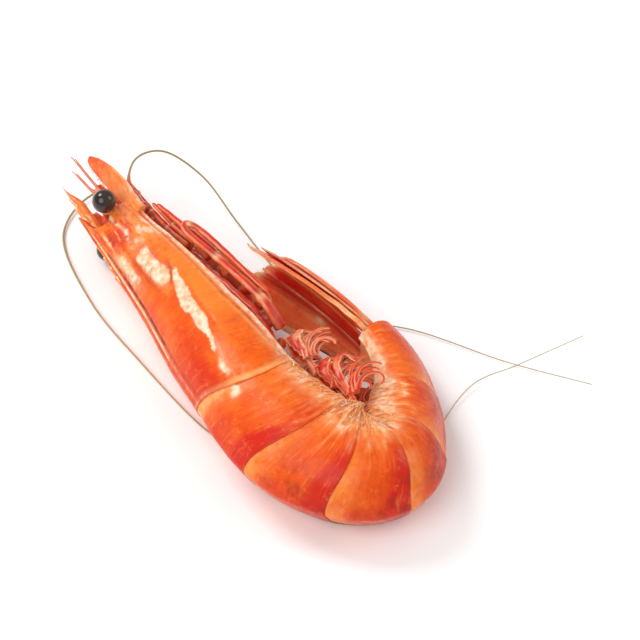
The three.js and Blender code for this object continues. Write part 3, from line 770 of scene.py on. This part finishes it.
def tail_zones(index, place, degrees, points):
    """Where a ring of the tail is pale, red, yellow and dark."""
    light, band, strength, flap, streaks, _, _ = RINGS[index]
    start, end = RING_EDGES[index:index + 2]
    warp = noise(points, 5, seed=31 + index), noise(points, 2, seed=41 + index)
    fine = noise(points, 0.8, seed=51)
    stripes = noise(np.stack([place / 0.55, degrees / 16, 0 * place], -1), 1.0, seed=71, octaves=2)
    p, d = place + 0.35 * warp[1], degrees + 6 * warp[0] + 3 * fine
    share = (place - start) / (end - start)
    band_start = end - 0.3 - band * (1 - 0.6 * ramp(20, 95, d))
    behind_seam = bell(p, start, light) * fade(45, 95, d)
    flaps = ramp(flap - 16, flap + 12, d)
    inner = ramp(45, 105, d) * streaks
    red = strongest(
        strength * ramp(band_start - 1.4, band_start + 0.7, p) * fade(55, 100, d),
        0.35 * ramp(start + light, end, p) * fade(40, 90, d),
        # Redder along the back behind the light band: partly the shell's own colour, partly painted shade
        # along that edge.
        0.4 * fade(8, 20, d) * ramp(start + light * 0.6, start + light, p),
        0.5 * inner * ramp(0.1, 0.5, -stripes))
    gold = strongest(
        0.8 * behind_seam * (0.8 + 0.6 * warp[1]),
        0.4 * bell(d, 100, 25) * fade(0.3, 0.9, share),
        0.9 * flaps,
        0.7 * inner * ramp(-0.1, 0.35, stripes))
    pale = strongest(
        0.3 * behind_seam * (0.5 + 1.2 * fine),
        0.52 * flaps * (0.8 + 0.7 * fine + 0.7 * stripes),
        0.75 * inner * ramp(0.12, 0.6, stripes))
    dark = 0.12 * bell(place, end - 0.1, 0.15)
    if index == 0:
        # A painted highlight spot carries on the painted highlight streak of the head, and a light wedge
        # lies behind the head's rim.
        spot = start + 1.1
        wedge = fade(1.0, 2.4, place - start + (degrees - 20) / 40 + 0.5 * warp[1])
        wedge = wedge * fade(56, 66, d)
        pale = strongest(pale, 0.5 * wedge * (0.8 + 0.8 * fine),
                         1.15 * bell(p, spot, 1.3) * bell(d, 55 - 3 * (p - spot), 5.5))
        gold = strongest(gold, wedge)
        red = red * (1 - 0.7 * wedge)
    # The undersides of the last two rings are cream: partly their own colour, partly a painted highlight,
    # and painted light that lifts them out of their shade.
    if index in CREAM_AND_HIGHLIGHT_RINGS:
        pale = strongest(pale, ramp(flap - 4, flap + 10, d) * (0.7 + 0.5 * fine))
    if index in BROWN_RINGS:
        brown = ramp(0.15, 0.5, share) * fade(30, 60, d)
        dark = strongest(dark, 0.42 * brown * limited(0.35 + 1.4 * warp[1] + fine))
    pale = pale * (1 - 0.8 * ramp(PLEURA_EDGE - 2, PLEURA_EDGE + 6, degrees))
    zones = {"pale": pale, "red": red, "gold": gold, "dark": dark}
    return {name: limited(zone) for name, zone in zones.items()}


def tail_point(place, angle, grow):
    """A point of the tail's shell, whose flaps hang below the belly."""
    points = shell_point(place, angle, grow)
    degrees = degrees_from_back(angle)
    drape = np.interp(place, *DRAPE) * ramp(98, 140, degrees) * fade(147, 160, degrees)
    direction = direction_at(place)
    points[..., 0] -= direction[..., 1] * drape
    points[..., 1] += direction[..., 0] * drape
    return points


def add_tufts(piece, index):
    """Fibres on the flaps of a ring, which point to the belly. Every third one is a stout curl."""
    *_, count, low = RINGS[index]
    start, end = RING_EDGES[index:index + 2]
    dice = random.Random(500 + index)
    steps = shares(7)
    for sign in (1, -1):
        for number in range(count):
            stout = number % 3 == 0
            place = dice.uniform(start, end)
            degrees = low + (156 - low) * dice.random() ** (0.35 if stout else 0.8)
            reach = dice.uniform(0.75, 2)
            sweep = np.radians(degrees + steps * reach * 57 / sizes_at(place)["flank"])
            drift = place + steps * dice.gauss(0, 1.1 if stout else 0.35)
            rise = 0.02 + steps * dice.uniform(0, 0.08) * reach + 0.16 * stout * np.sin(np.pi * steps)
            line = tail_point(drift, sweep * sign, rise)
            hair(piece, line, dice.uniform(0.05, 0.1) + 0.08 * stout, 5 if stout else 3,
                 pale=dice.uniform(0.2, 0.75), gold=1, along=place, around=dice.uniform(-20, 20))


def make_somite(index, finish):
    start, end = RING_EDGES[index:index + 2]
    length = SOMITES[index][0]
    head = [(-0.9, -1.1), (-0.7, -0.5)]
    rim = [(-0.04, -0.03), (-0.06, -0.1), (-0.25, -0.25), (-0.9, -0.5)]
    rows, columns = 24 + int(length * 4.5), 200
    run = np.linspace(start - 0.2, end - 0.12, rows)
    tuck = -0.14 * (1 - limited((run - start) / length)) ** 4
    place, turn, grow = shell_rows(head, start, run, tuck, rim, end, columns)
    degrees = degrees_from_back(turn)
    grow += 0.16 * bell(degrees, PLEURA_EDGE - 3, 3) - 0.6 * ramp(PLEURA_EDGE, PLEURA_EDGE + 6, degrees)
    points = tail_point(place, turn, grow)
    wrinkle = noise(points, 1.0, seed=61) * ramp(92, 120, degrees)
    grow += 0.08 * noise(points, 2.8, seed=11 + index) + 0.03 * noise(points, 0.8, seed=12) + 0.08 * wrinkle
    points = tail_point(place, turn, grow)
    zones = tail_zones(index, place, degrees, points)
    piece = Piece()
    piece.add(points, **zones, **shell_coordinates(place, turn))
    add_tufts(piece, index)
    piece.build(f"somite_{index + 1}", finish, name=f"tail_ring_{index + 1}")


# ---- Chest, legs and swimmerets
def chest_level(place):
    return -sizes_at(place)["belly"] - 0.1


def rounding(share, start, reach):
    """The breadth of a rounded form along it: the root of a stretch of half a sine wave."""
    return np.sqrt(np.sin(math.pi * (start + reach * share)))


def make_chest(finish):
    rows, columns = 60, 40
    place = np.linspace(CHEST_START, CHEST_END, rows)
    line = body_point(place, chest_level(place) + CHEST_HALF_DEPTH, 0)
    rounded = rounding(shares(rows), 0.1, 0.8)
    points = tube(line, CHEST_HALF_DEPTH * rounded, CHEST_HALF_BREADTH * rounded, columns)
    piece = Piece()
    piece.add(points + 0.15 * noise(points, 1.2, seed=5)[..., None], red=0.3)
    piece.build("chest", finish, "_plates")


def leg_line(leg, sign):
    root, column, level, front, tip = leg
    rows = [
        (root, 0, LEG_ROOT_OFFSET),
        (root - LEG_BEND * 0.3, level / 2, (LEG_ROOT_OFFSET + column) / 2),
        (root - LEG_BEND, level, column), ((root + front) / 2, level, column), (front, level, column),
    ]
    if tip > front:
        knee = level + KNEE_DROP
        rows += [(front - KNEE_REACH, level + KNEE_DROP / 2, column),
                 (front + KNEE_REACH / 2, knee, column), (tip, knee, column)]
    place, levels, offset = np.transpose(rows)
    hang = GAP + LEG_RADIUS + levels * LEG_LEVEL
    return body_point(place, chest_level(place) - hang, offset * sign)


# Where each pair of legs has its joints, as shares of its length.
LEG_JOINTS = [(0.2, 0.6), (0.2, 0.55), (0.16, 0.42, 0.75), (0.14, 0.66), (0.12, 0.36, 0.58)]


def limb_shell(piece, line, half_level, half_upright, joints, corners=20):
    """A jointed limb: flattened segments that narrow towards each joint, with pale knobs there."""
    share = shares(len(line))
    knob = sum((bell(share, joint, 0.014) for joint in joints), 0 * share)
    neck = sum((bell(share, joint + 0.03, 0.02) for joint in joints), 0 * share)
    size = 1 + 0.1 * knob - 0.12 * neck + 0.5 * bell(share, 0, 0.1)
    closing = np.sqrt(np.clip((1 - share) / 0.03, 0.03, 1))
    points = tube(line, half_level * size * closing, half_upright * size * closing, corners)
    # A furrow runs along the top of each limb, so that it shows as a red strip with light raised edges; the
    # pale on those edges is a painted highlight.
    angle = turn_angles(corners)
    furrow = bell(angle, math.pi / 2, 0.45)
    edges = bell(angle, 0.14 * math.pi, 0.36) + bell(angle, 0.86 * math.pi, 0.36)
    points = points + (line[:, None] - points) * 0.22 * furrow[:, None]
    points = points + 0.04 * noise(points, 0.9, seed=81)[..., None]
    grain = noise(points, 1.5, seed=82)
    knob, neck = knob[:, None], neck[:, None]
    piece.add(points, pale=limited(0.6 * knob + edges * (0.3 + 0.8 * grain)),
                          gold=0.65 * edges, dark=limited(0.3 * neck + 0.25 * furrow),
                          red=limited(0.8 * furrow + 0.6 * grain))


def bristles(piece, line, out, length, radius, count, seed, spread=0.5, along=0.4):
    """Fine hairs that stand out from a line, each bent along it."""
    dice = random.Random(seed)
    tangent = unit(np.gradient(line, axis=0))
    for _ in range(count):
        k = dice.randrange(2, len(line) - 2)
        reach = length * dice.uniform(0.6, 1.2)
        away = unit(out[k] + spread * np.array([dice.gauss(0, 1) for _ in range(3)]))
        bent = tangent[k] * along * dice.uniform(0.3, 1.4)
        steps = shares(5)[:, None]
        points = line[k] + away * steps * reach + bent * steps**2 * reach
        points[:, 2] = np.maximum(points[:, 2], radius * 1.5)
        hair(piece, points, radius, 3, gold=0.7, pale=dice.uniform(0, 0.5))


def make_leg(index, side, finish):
    line = spline(leg_line(LEGS[index], SIDES[side]), 150)
    share = shares(len(line))
    radius = LEG_RADIUS * (1 - LEG_TAPER * share**1.5)
    piece = Piece()
    limb_shell(piece, line, radius * 1.25, radius * 1.15, LEG_JOINTS[index])
    level, upright = ring_frames(line)
    bristles(piece, line, level * 0.6 + upright, 1.2, 0.025, 16, 100 + index)
    piece.build(f"leg_{index + 1}_{side}", finish)


def make_maxilliped(side, finish):
    place = np.array([MAXILLIPED_ROOT, MAXILLIPED_ROOT / 2, 0, MAXILLIPED_TIP])
    level = chest_level(place) - MAXILLIPED_DEPTH * (place > MAXILLIPED_TIP)
    line = spline(body_point(place, level, MAXILLIPED_OFFSET * SIDES[side]), 90)
    radius = np.interp(shares(90), [0, 1], MAXILLIPED_RADII)
    piece = Piece()
    limb_shell(piece, line, radius, radius * 1.15, (0.3, 0.55, 0.78))
    level, upright = ring_frames(line)
    bristles(piece, line, -level + 0.4 * upright, 1.4, 0.03, 40, 120)
    piece.build(f"maxilliped_{side}", finish)


def leaf(piece, line, half_thickness, half_breadth, roll, fringe, seed):
    """A curved leaf with a midrib, thin wavy edges and a fringe of hairs."""
    rows = len(line)
    share = shares(rows)[:, None]
    level, upright = ring_frames(line)
    level, upright = rolled(level, upright, roll)
    angle = turn_angles(28)
    wide, thick = np.sin(angle), np.cos(angle)
    half_breadth = half_breadth[:, None]
    ruffle = 0.12 * np.sin(share * 37 + seed) * wide * np.abs(wide)
    rib = 0.6 * bell(wide, 0, 0.25)
    flat = half_thickness * thick * (0.55 + rib) + ruffle * half_breadth
    points = rings_round(line, level, upright, flat, wide * half_breadth)
    points[..., 2] = np.maximum(points[..., 2], 0.02)
    edge = ramp(0.6, 1, np.abs(wide))
    grain = noise(points, 1.2, seed=seed)
    piece.add(points, pale=limited(0.5 * edge + 0.4 * grain), gold=0.6 * edge,
                          red=limited(0.6 * (1 - edge) - grain))
    for way in (-1, 1):
        rim = line + upright * half_breadth * 0.95 * way
        bristles(piece, rim, upright * way, fringe, 0.028, int(rows * 0.9), seed + way, 0.25, 0.9)


def make_swimmeret(index, side, finish):
    """A stout stalk carries a long outer leaf and a short inner one, both curled, and fine strips."""
    sign = SIDES[side]
    direction, length, offset, half_breadth = SWIMMERETS[index]
    root = RING_EDGES[index + 1] - SOMITES[index][0] / 2
    start = body_point(root, -sizes_at(root)["belly"] - 0.1, offset * sign)
    heading = math.radians(direction)
    along = np.array([math.cos(heading), math.sin(heading), 0])
    across = np.array([along[1], -along[0], 0])
    rise = np.array([0, 0, sign])
    reach = along * length
    piece = Piece()
    stem = spline([start, start + reach * 0.2 + rise * 0.3, start + reach * 0.36], 30)
    limb_shell(piece, stem, np.full(30, 0.55), np.full(30, max(half_breadth * 0.7, 0.55)), (0.9,))
    base = stem[-1]
    outer = spline([base, base + reach * 0.3 + rise * SWIMMERET_SAG - across * 0.8,
                    start + reach * 0.92 + rise * 0.8 - across * 0.4,
                    start + reach * 1.08 + rise * 0.5 + across * 1.6,
                    start + reach * 0.9 + rise * 0.2 + across * 3.4], 60)
    inner = spline([base, base + reach * 0.3 - across * 1.1 + rise * 0.7,
                    base + reach * 0.5 - across * 1.6 + rise, base + reach * 0.62 - across * 0.4], 40)
    for line, thinner, roll, fringe, seed in ((outer, 1, 0.85, 0.7, 201), (inner, 0.8, -0.5, 0.6, 231)):
        half = max(half_breadth, 1.0) * thinner * rounding(shares(len(line)), 0.12, 0.82)
        leaf(piece, line, SWIMMERET_HALF_THICKNESS * thinner, half, roll, fringe, seed + index)
    dice = random.Random(260 + index)
    share = shares(40)
    for _ in range(STRIPS_A_SWIMMERET):
        bend, strip = dice.uniform(100, 230), length * dice.uniform(0.5, 0.95)
        turned = heading + math.radians(dice.uniform(-25, 10)) - np.radians(bend) * share**1.5
        run = np.cumsum(np.stack([np.cos(turned), np.sin(turned), 0 * turned], -1), 0) * strip / 40
        line = base + across * dice.uniform(-1, 1.5) + run
        line = line + rise * (dice.uniform(0, 1.6) + 0.8 * share[:, None])
        line[:, 2] = np.maximum(line[:, 2], 0.7)
        half = np.linspace(0.5, 0.22, 40) * dice.uniform(0.7, 1.1)
        limb_shell(piece, line, half, half * 0.6, ())
    piece.build(f"swimmeret_{index + 1}_{side}", finish, "_leaf")


# ---- The tail fan
def make_blade(name, blade, sign, finish, outer_edge=0.0, widen=0.0, redness=0.9, paleness=0.05, painted_gleam=0.0):
    """A blade with a midrib, fine ribs, a thick outer edge where it has one, a fringed tip, and a painted
    highlight where one is asked for.
    """
    middle, half_breadth, layer, thickness, length = blade
    rows, columns = 120, 44
    share = shares(rows)[:, None]
    place = TAIL_END - 0.4 + (length + GAP + 0.4) * share
    swell = 0.5 + 0.5 * np.sin(np.minimum(share / 0.5, 1) * math.pi / 2)
    side = np.sin(np.linspace(-1, 1, columns) * math.pi / 2)
    # The edge towards the middle of the fan runs straight to a blunt tip, and the outer one is rounder.
    straight = 0.5 + (0.32 * ramp(0.1, 0.8, -side) if middle else 0)
    narrowing = np.sqrt(1 - 0.99 * np.maximum(0, (share - straight) / (1 - straight)) ** 2.4)
    half = half_breadth * swell * narrowing
    lateral = (middle * (0.75 + 0.25 * swell) + half * side
               + widen * ramp(0, 1, side) * swell * narrowing)
    depth = layer - FAN_DROP * (lateral / FAN_HALF_SPREAD) ** 2 * (0.4 + 0.6 * share)
    edge = np.sqrt(np.clip(1 - side**6, 0.01, 1))
    rib = 0.3 * bell(side, 0.1 if outer_edge else 0, 0.1) * (1 - 0.8 * share)
    tip_thinning = np.sqrt(1 - 0.9 * ramp(0.88, 1, share))
    thick = (thickness / 2 * edge * (0.85 + 0.2 * (1 - share)) * tip_thinning + rib
             + outer_edge * bell(side, 0.93, 0.12) * (1 - 0.5 * share))
    veins = 0.05 * np.sin(lateral * 9 + 2 * share)
    upper, lower = (body_point(place, depth + step + veins, lateral * sign) for step in (thick, -thick))
    # Where a blade meets the plate it lies on it, and keeps its thickness.
    lower[..., 2] = np.maximum(lower[..., 2], 0.05)
    upper[..., 2] = np.maximum(upper[..., 2], lower[..., 2] + 0.25 * (lateral * sign < -6.6))

    def both_faces(above, below):
        return np.concatenate([above, below[:, ::-1]], 1)

    points = both_faces(upper, lower)
    wide = side + 0 * share
    both, across = both_faces(wide, wide), both_faces(lateral, lateral)
    grain = noise(points, 2.5, seed=91)
    streaks = noise(np.stack([across * 1.6, 4 * share + 0 * across, 0 * across], -1), 1, seed=92)
    rim = ramp(0.72, 0.98, np.abs(both))
    tip = ramp(0.88, 0.97, share) * (0.7 + grain)
    pale = 0.2 * rim * (1 + 3 * streaks) + tip * 0.8 + paleness * ramp(0, 0.5, streaks)
    # A painted highlight where one is asked for: a pale spot across the blade, which also takes the gold off
    # the rim and reddens the inner side.
    pale = strongest(limited(pale), painted_gleam * bell(share, 0.42, 0.04) * bell(both, -0.3, 0.25))
    gold = 0.7 * rim * (1 + streaks) * (1 - painted_gleam) + 2 * paleness * ramp(-0.2, 0.4, streaks) + tip
    red = redness * (1 - rim) * (0.9 + 0.4 * grain) + painted_gleam * fade(-0.8, -0.1, both)
    grids = points, pale, limited(gold), limited(red)
    if sign > 0:
        grids = (grid[:, ::-1] for grid in grids)
    points, pale, gold, red = grids
    piece = Piece()
    piece.add(points, pale=pale, gold=gold, red=red)
    fringe_start = rows * 3 // 5
    tips = np.concatenate([upper[fringe_start:, 1], upper[-1, 1:-1], upper[fringe_start:, -2][::-1]])
    centre = upper[rows // 2, columns // 2]
    bristles(piece, tips, unit(tips - centre), 0.6, 0.018, 160, 300 + len(name), 0.12, 0.1)
    piece.build(name, finish, "_blade")


# ---- Eyes and feelers
def to_points(rows, sign):
    return [body_point(place, back, outwards * sign) for place, back, outwards in rows]


def make_eye(side, finish, stalk_finish):
    centre, root = to_points((EYE, STALK_ROOT), SIDES[side])
    axis = unit(centre - root)
    across = unit(np.cross(axis, [0, 0, 1.0]) + np.array([1e-6, 0, 0]))
    rows, columns = 40, 48
    turn = turn_angles(columns)[:, None]
    ring = across * np.cos(turn) + np.cross(axis, across) * np.sin(turn)
    tilt = np.linspace(0.35, math.pi - 0.02, rows)[:, None, None]
    ball = Piece()
    ball.add((centre + EYE_RADIUS * (ring * np.sin(tilt) - axis * np.cos(tilt)))[:, ::-1])
    ball.build(f"eye_{side}", finish, "_ball")
    start = root - axis * 1.0
    reach = np.linalg.norm(centre - start) - EYE_RADIUS * 0.86
    share = shares(30)[:, None]
    radius = np.interp(share, [0, 0.12, 0.3, 0.5, 0.8, 1], [1.4, 2.0, 1.9, 1.1, 1.25, 1.3])
    rings = start + axis * reach * share[..., None] + ring * radius[..., None]
    stalk = Piece()
    stalk.add(rings[:, ::-1], pale=0.5 * bell(share, 0.95, 0.05))
    stalk.build(f"eyestalk_{side}", stalk_finish)


def make_antennule(side, finish):
    """Three stout segments, which end in two lashes."""
    line = spline(to_points(ANTENNULE, SIDES[side]), 100)
    fork = int(STEM_SHARE_OF_ANTENNULE * 100)
    stem, lash = line[:fork], line[fork - 3:]
    radius = np.linspace(1.1, 0.8, len(stem))
    piece = Piece()
    limb_shell(piece, stem, radius, radius * 1.05, (0.45, 0.75))
    fine = np.linspace(0.3, 0.1, len(lash))
    level, upright = ring_frames(lash)
    apart = (level * 0.4 + upright * 0.5) * shares(len(lash))[:, None] ** 1.3
    for way in (-1, 1):
        piece.add(tube(lash + apart * way, fine, fine, 8), pale=0.25)
    bristles(piece, stem, unit(level[0] + upright[0]) + 0 * stem, 1.2, 0.03, 30, 400)
    piece.build(f"antennule_{side}", finish)


def make_antennal_scale(side, finish):
    """The oval scale beside the eye: a thick outer edge, a thin blade with a fringe, a stout root."""
    sign = SIDES[side]
    rows, buried = 100, 12
    line = spline(to_points(ANTENNAL_SCALE, sign), rows)
    # Its root runs on straight, into the head.
    back = np.arange(buried, 0, -1)[:, None]
    line = np.concatenate([line[:1] + (line[:1] - line[1:2]) * back, line])
    share = limited((np.arange(len(line)) - buried) / (rows - 1))[:, None]
    level, upright = ring_frames(line)
    level, upright = rolled(level, upright, SCALE_TILT * sign)
    angle = turn_angles(40)
    wide, thick = np.sin(angle), np.cos(angle)
    half_breadth = SCALE_HALF_BREADTH * rounding(share, 0.2, 0.77)
    root = bell(share, 0, 0.12)
    half_thick = SCALE_HALF_THICKNESS * (0.7 + 1.6 * root) + 0.35 * bell(wide * sign, 0.8, 0.16)
    points = rings_round(line, level, upright, half_thick * thick, half_breadth * (1 - 0.15 * root) * wide)
    points = points + 0.05 * noise(points, 1.2, seed=83)[..., None]
    streaks = noise(points * [2, 1, 2], 1.6, seed=84)
    pale = 0.5 * (1 - share) * (0.6 + streaks) + 0.35 * ramp(0.8, 1, wide * sign)
    piece = Piece()
    piece.add(points, gold=limited(0.8 * (1 - share) + 0.5 * streaks),
                          pale=limited(pale), along=share * 18, around=2 * wide,
                          red=limited(0.5 * ramp(0.3, 1, share) * (0.6 - streaks)))
    outwards = (upright * -sign)[buried + 2:]
    rim = line[buried + 2:] + outwards * half_breadth[buried + 2:]
    bristles(piece, rim, outwards, 1.2, 0.03, 130, 420, 0.12, 0.5)
    piece.build(f"antennal_scale_{side}", finish)


def whisker_route(side):
    route = to_points(WHISKER_STEM, SIDES[side])
    if side == "right":
        route += RIGHT_WHISKER
    else:
        behind = np.arange(CARAPACE_END + 4, TAIL_END - 18, 5)
        feet = body_point(behind, sizes_at(behind)["back"] * FOOT_SHARE, 0)[:, :2]
        route += [*LEFT_WHISKER_BEFORE_TAIL, *feet, *LEFT_WHISKER_BEHIND_TAIL]
    return [(*point, WHISKER_HEIGHT)[:3] for point in route]


def make_whisker(side, finish):
    """A stout jointed root, and a very long hair."""
    line = spline(whisker_route(side), 900)
    root = int(STEM_SHARE * len(line))
    half = np.linspace(1.0, 0.55, root + 4)
    piece = Piece()
    limb_shell(piece, line[:root + 4], half, half * 1.1, (0.4, 0.8))
    share = shares(len(line))[root:]
    radius = np.interp(share, [STEM_SHARE, STEM_SHARE * 1.6, 0.4, 1], [0.5, 0.21, 0.14, 0.06])
    hairy = ramp(0.04, 0.09, share)[:, None]
    piece.add(tube(line[root:], radius, radius, 8), hairy=hairy)
    piece.build(f"whisker_{side}", finish, "_hair")


# ---- The shrimp
head_finish = wet_shell("head_shell", (248, 110, 12), (232, 78, 8))
tail_finish = wet_shell("tail_shell", (242, 98, 8), (222, 64, 6))
thin = {"Subsurface_Weight": 0.4, "Subsurface_Scale": 0.004}
fan_finish = plain_skin("fan_shell", (246, 108, 52), (226, 70, 38), **thin)
# The lower blade's finish is a lighter copy of the fan's: painted light, to lift it out of the shade under
# the blades above it.
lightened_fan_finish = plain_skin("fan_shell_lightened", (255, 142, 84), (255, 108, 60), **thin)
leg_finish = plain_skin("leg_shell", (250, 96, 48), (226, 60, 30))
flap_finish = plain_skin("swimmeret_skin", (250, 104, 46), (228, 62, 24))
clear_finish = plain_skin("swimmeret_skin_clear", (250, 170, 132), (238, 122, 84))
stalk_finish = plain_skin("stalk_shell", (230, 88, 44), (182, 44, 24))
eye_finish = plain_skin("eye_ball", (58, 38, 26), (18, 10, 7), 0.0, Coat_Weight=1.0,
                        Coat_Roughness=0.03, Specular_IOR_Level=0.05)
whisker_finish = plain_skin("whisker_hair", (226, 92, 50), (190, 60, 34))

make_carapace(head_finish)
for index in range(len(SOMITES)):
    make_somite(index, tail_finish)
make_chest(leg_finish)
for side, sign in SIDES.items():
    for index in range(len(LEGS)):
        make_leg(index, side, leg_finish)
    make_maxilliped(side, leg_finish)
    for index in range(len(SWIMMERETS)):
        make_swimmeret(index, side, flap_finish if index else clear_finish)
    upper = sign > 0
    make_blade(f"uropod_inner_{side}", INNER_UROPOD, sign, fan_finish, widen=0.9 if upper else 0)
    if upper:
        make_blade(f"uropod_outer_{side}", OUTER_UROPOD, sign, fan_finish, 0.3, 0.5, 0.6, 0.2)
    else:
        make_blade(f"uropod_outer_{side}", OUTER_UROPOD, sign, lightened_fan_finish, 0.6, 1.5, 0.05, 0.15, 0.9)
    make_eye(side, eye_finish, stalk_finish)
    make_antennule(side, stalk_finish)
    make_antennal_scale(side, head_finish)
    make_whisker(side, whisker_finish)
make_blade("telson", TELSON, 1, fan_finish, widen=0.5)


# ---- Floor, light and camera
FLOOR_HALF = 3.0


def make_floor():
    corners = [(x * FLOOR_HALF, y * FLOOR_HALF, 0) for x, y in ((-1, -1), (1, -1), (1, 1), (-1, 1))]
    mesh = bpy.data.meshes.new("floor")
    mesh.from_pydata(corners, [], [(0, 1, 2, 3)])
    f = Finish("floor_paper")
    shade = f.between(f.noise(f.where(), 3, 2), 0.2, 0.8, 0.0, 1.0)
    paper = f.mix(shade, (0.96, 0.96, 0.955, 1), (0.98, 0.98, 0.98, 1))
    mesh.materials.append(f.finish(paper, 0.75, f.bump(f.noise(f.where(), 60, 2), 0.0005, 0.05)))
    floor = link(bpy.data.objects.new("floor", mesh))


def aim(thing, place, target):
    thing.location = place
    thing.rotation_euler = (Vector(target) - Vector(place)).to_track_quat("-Z", "Y").to_euler()


def make_light(name, towards, distance, size, power):
    data = bpy.data.lights.new(name, "AREA")
    data.shape = "DISK"
    data.size, data.energy = size, power
    light = link(bpy.data.objects.new(name, data))
    aim(light, Vector(towards).normalized() * distance, (0, 0, 0.008))


make_floor()
make_light("key", (-0.55, 0.42, 0.78), 0.8, 0.34, 2.6)
make_light("front", (-0.48, -0.6, 0.75), 1.0, 0.8, 4.4)
make_light("side", (0.8, 0.1, 0.6), 0.9, 0.5, 1.3)
world = bpy.data.worlds.new("studio")
world.use_nodes = True
background = world.node_tree.nodes["Background"].inputs
background["Color"].default_value = (1, 1, 1, 1)
background["Strength"].default_value = 0.58
bpy.context.scene.world = world
bpy.context.scene.view_settings.view_transform = "Standard"

camera_data = bpy.data.cameras.new("camera")
camera_data.lens = 150
camera = link(bpy.data.objects.new("camera", camera_data))
elevation = math.radians(48)
target = Vector((0.0, 0.002, 0.008))
view_width = 0.128
reach = view_width * camera_data.lens / camera_data.sensor_width
aim(camera, target + Vector((0, -math.cos(elevation), math.sin(elevation))) * reach, target)
bpy.context.scene.camera = camera
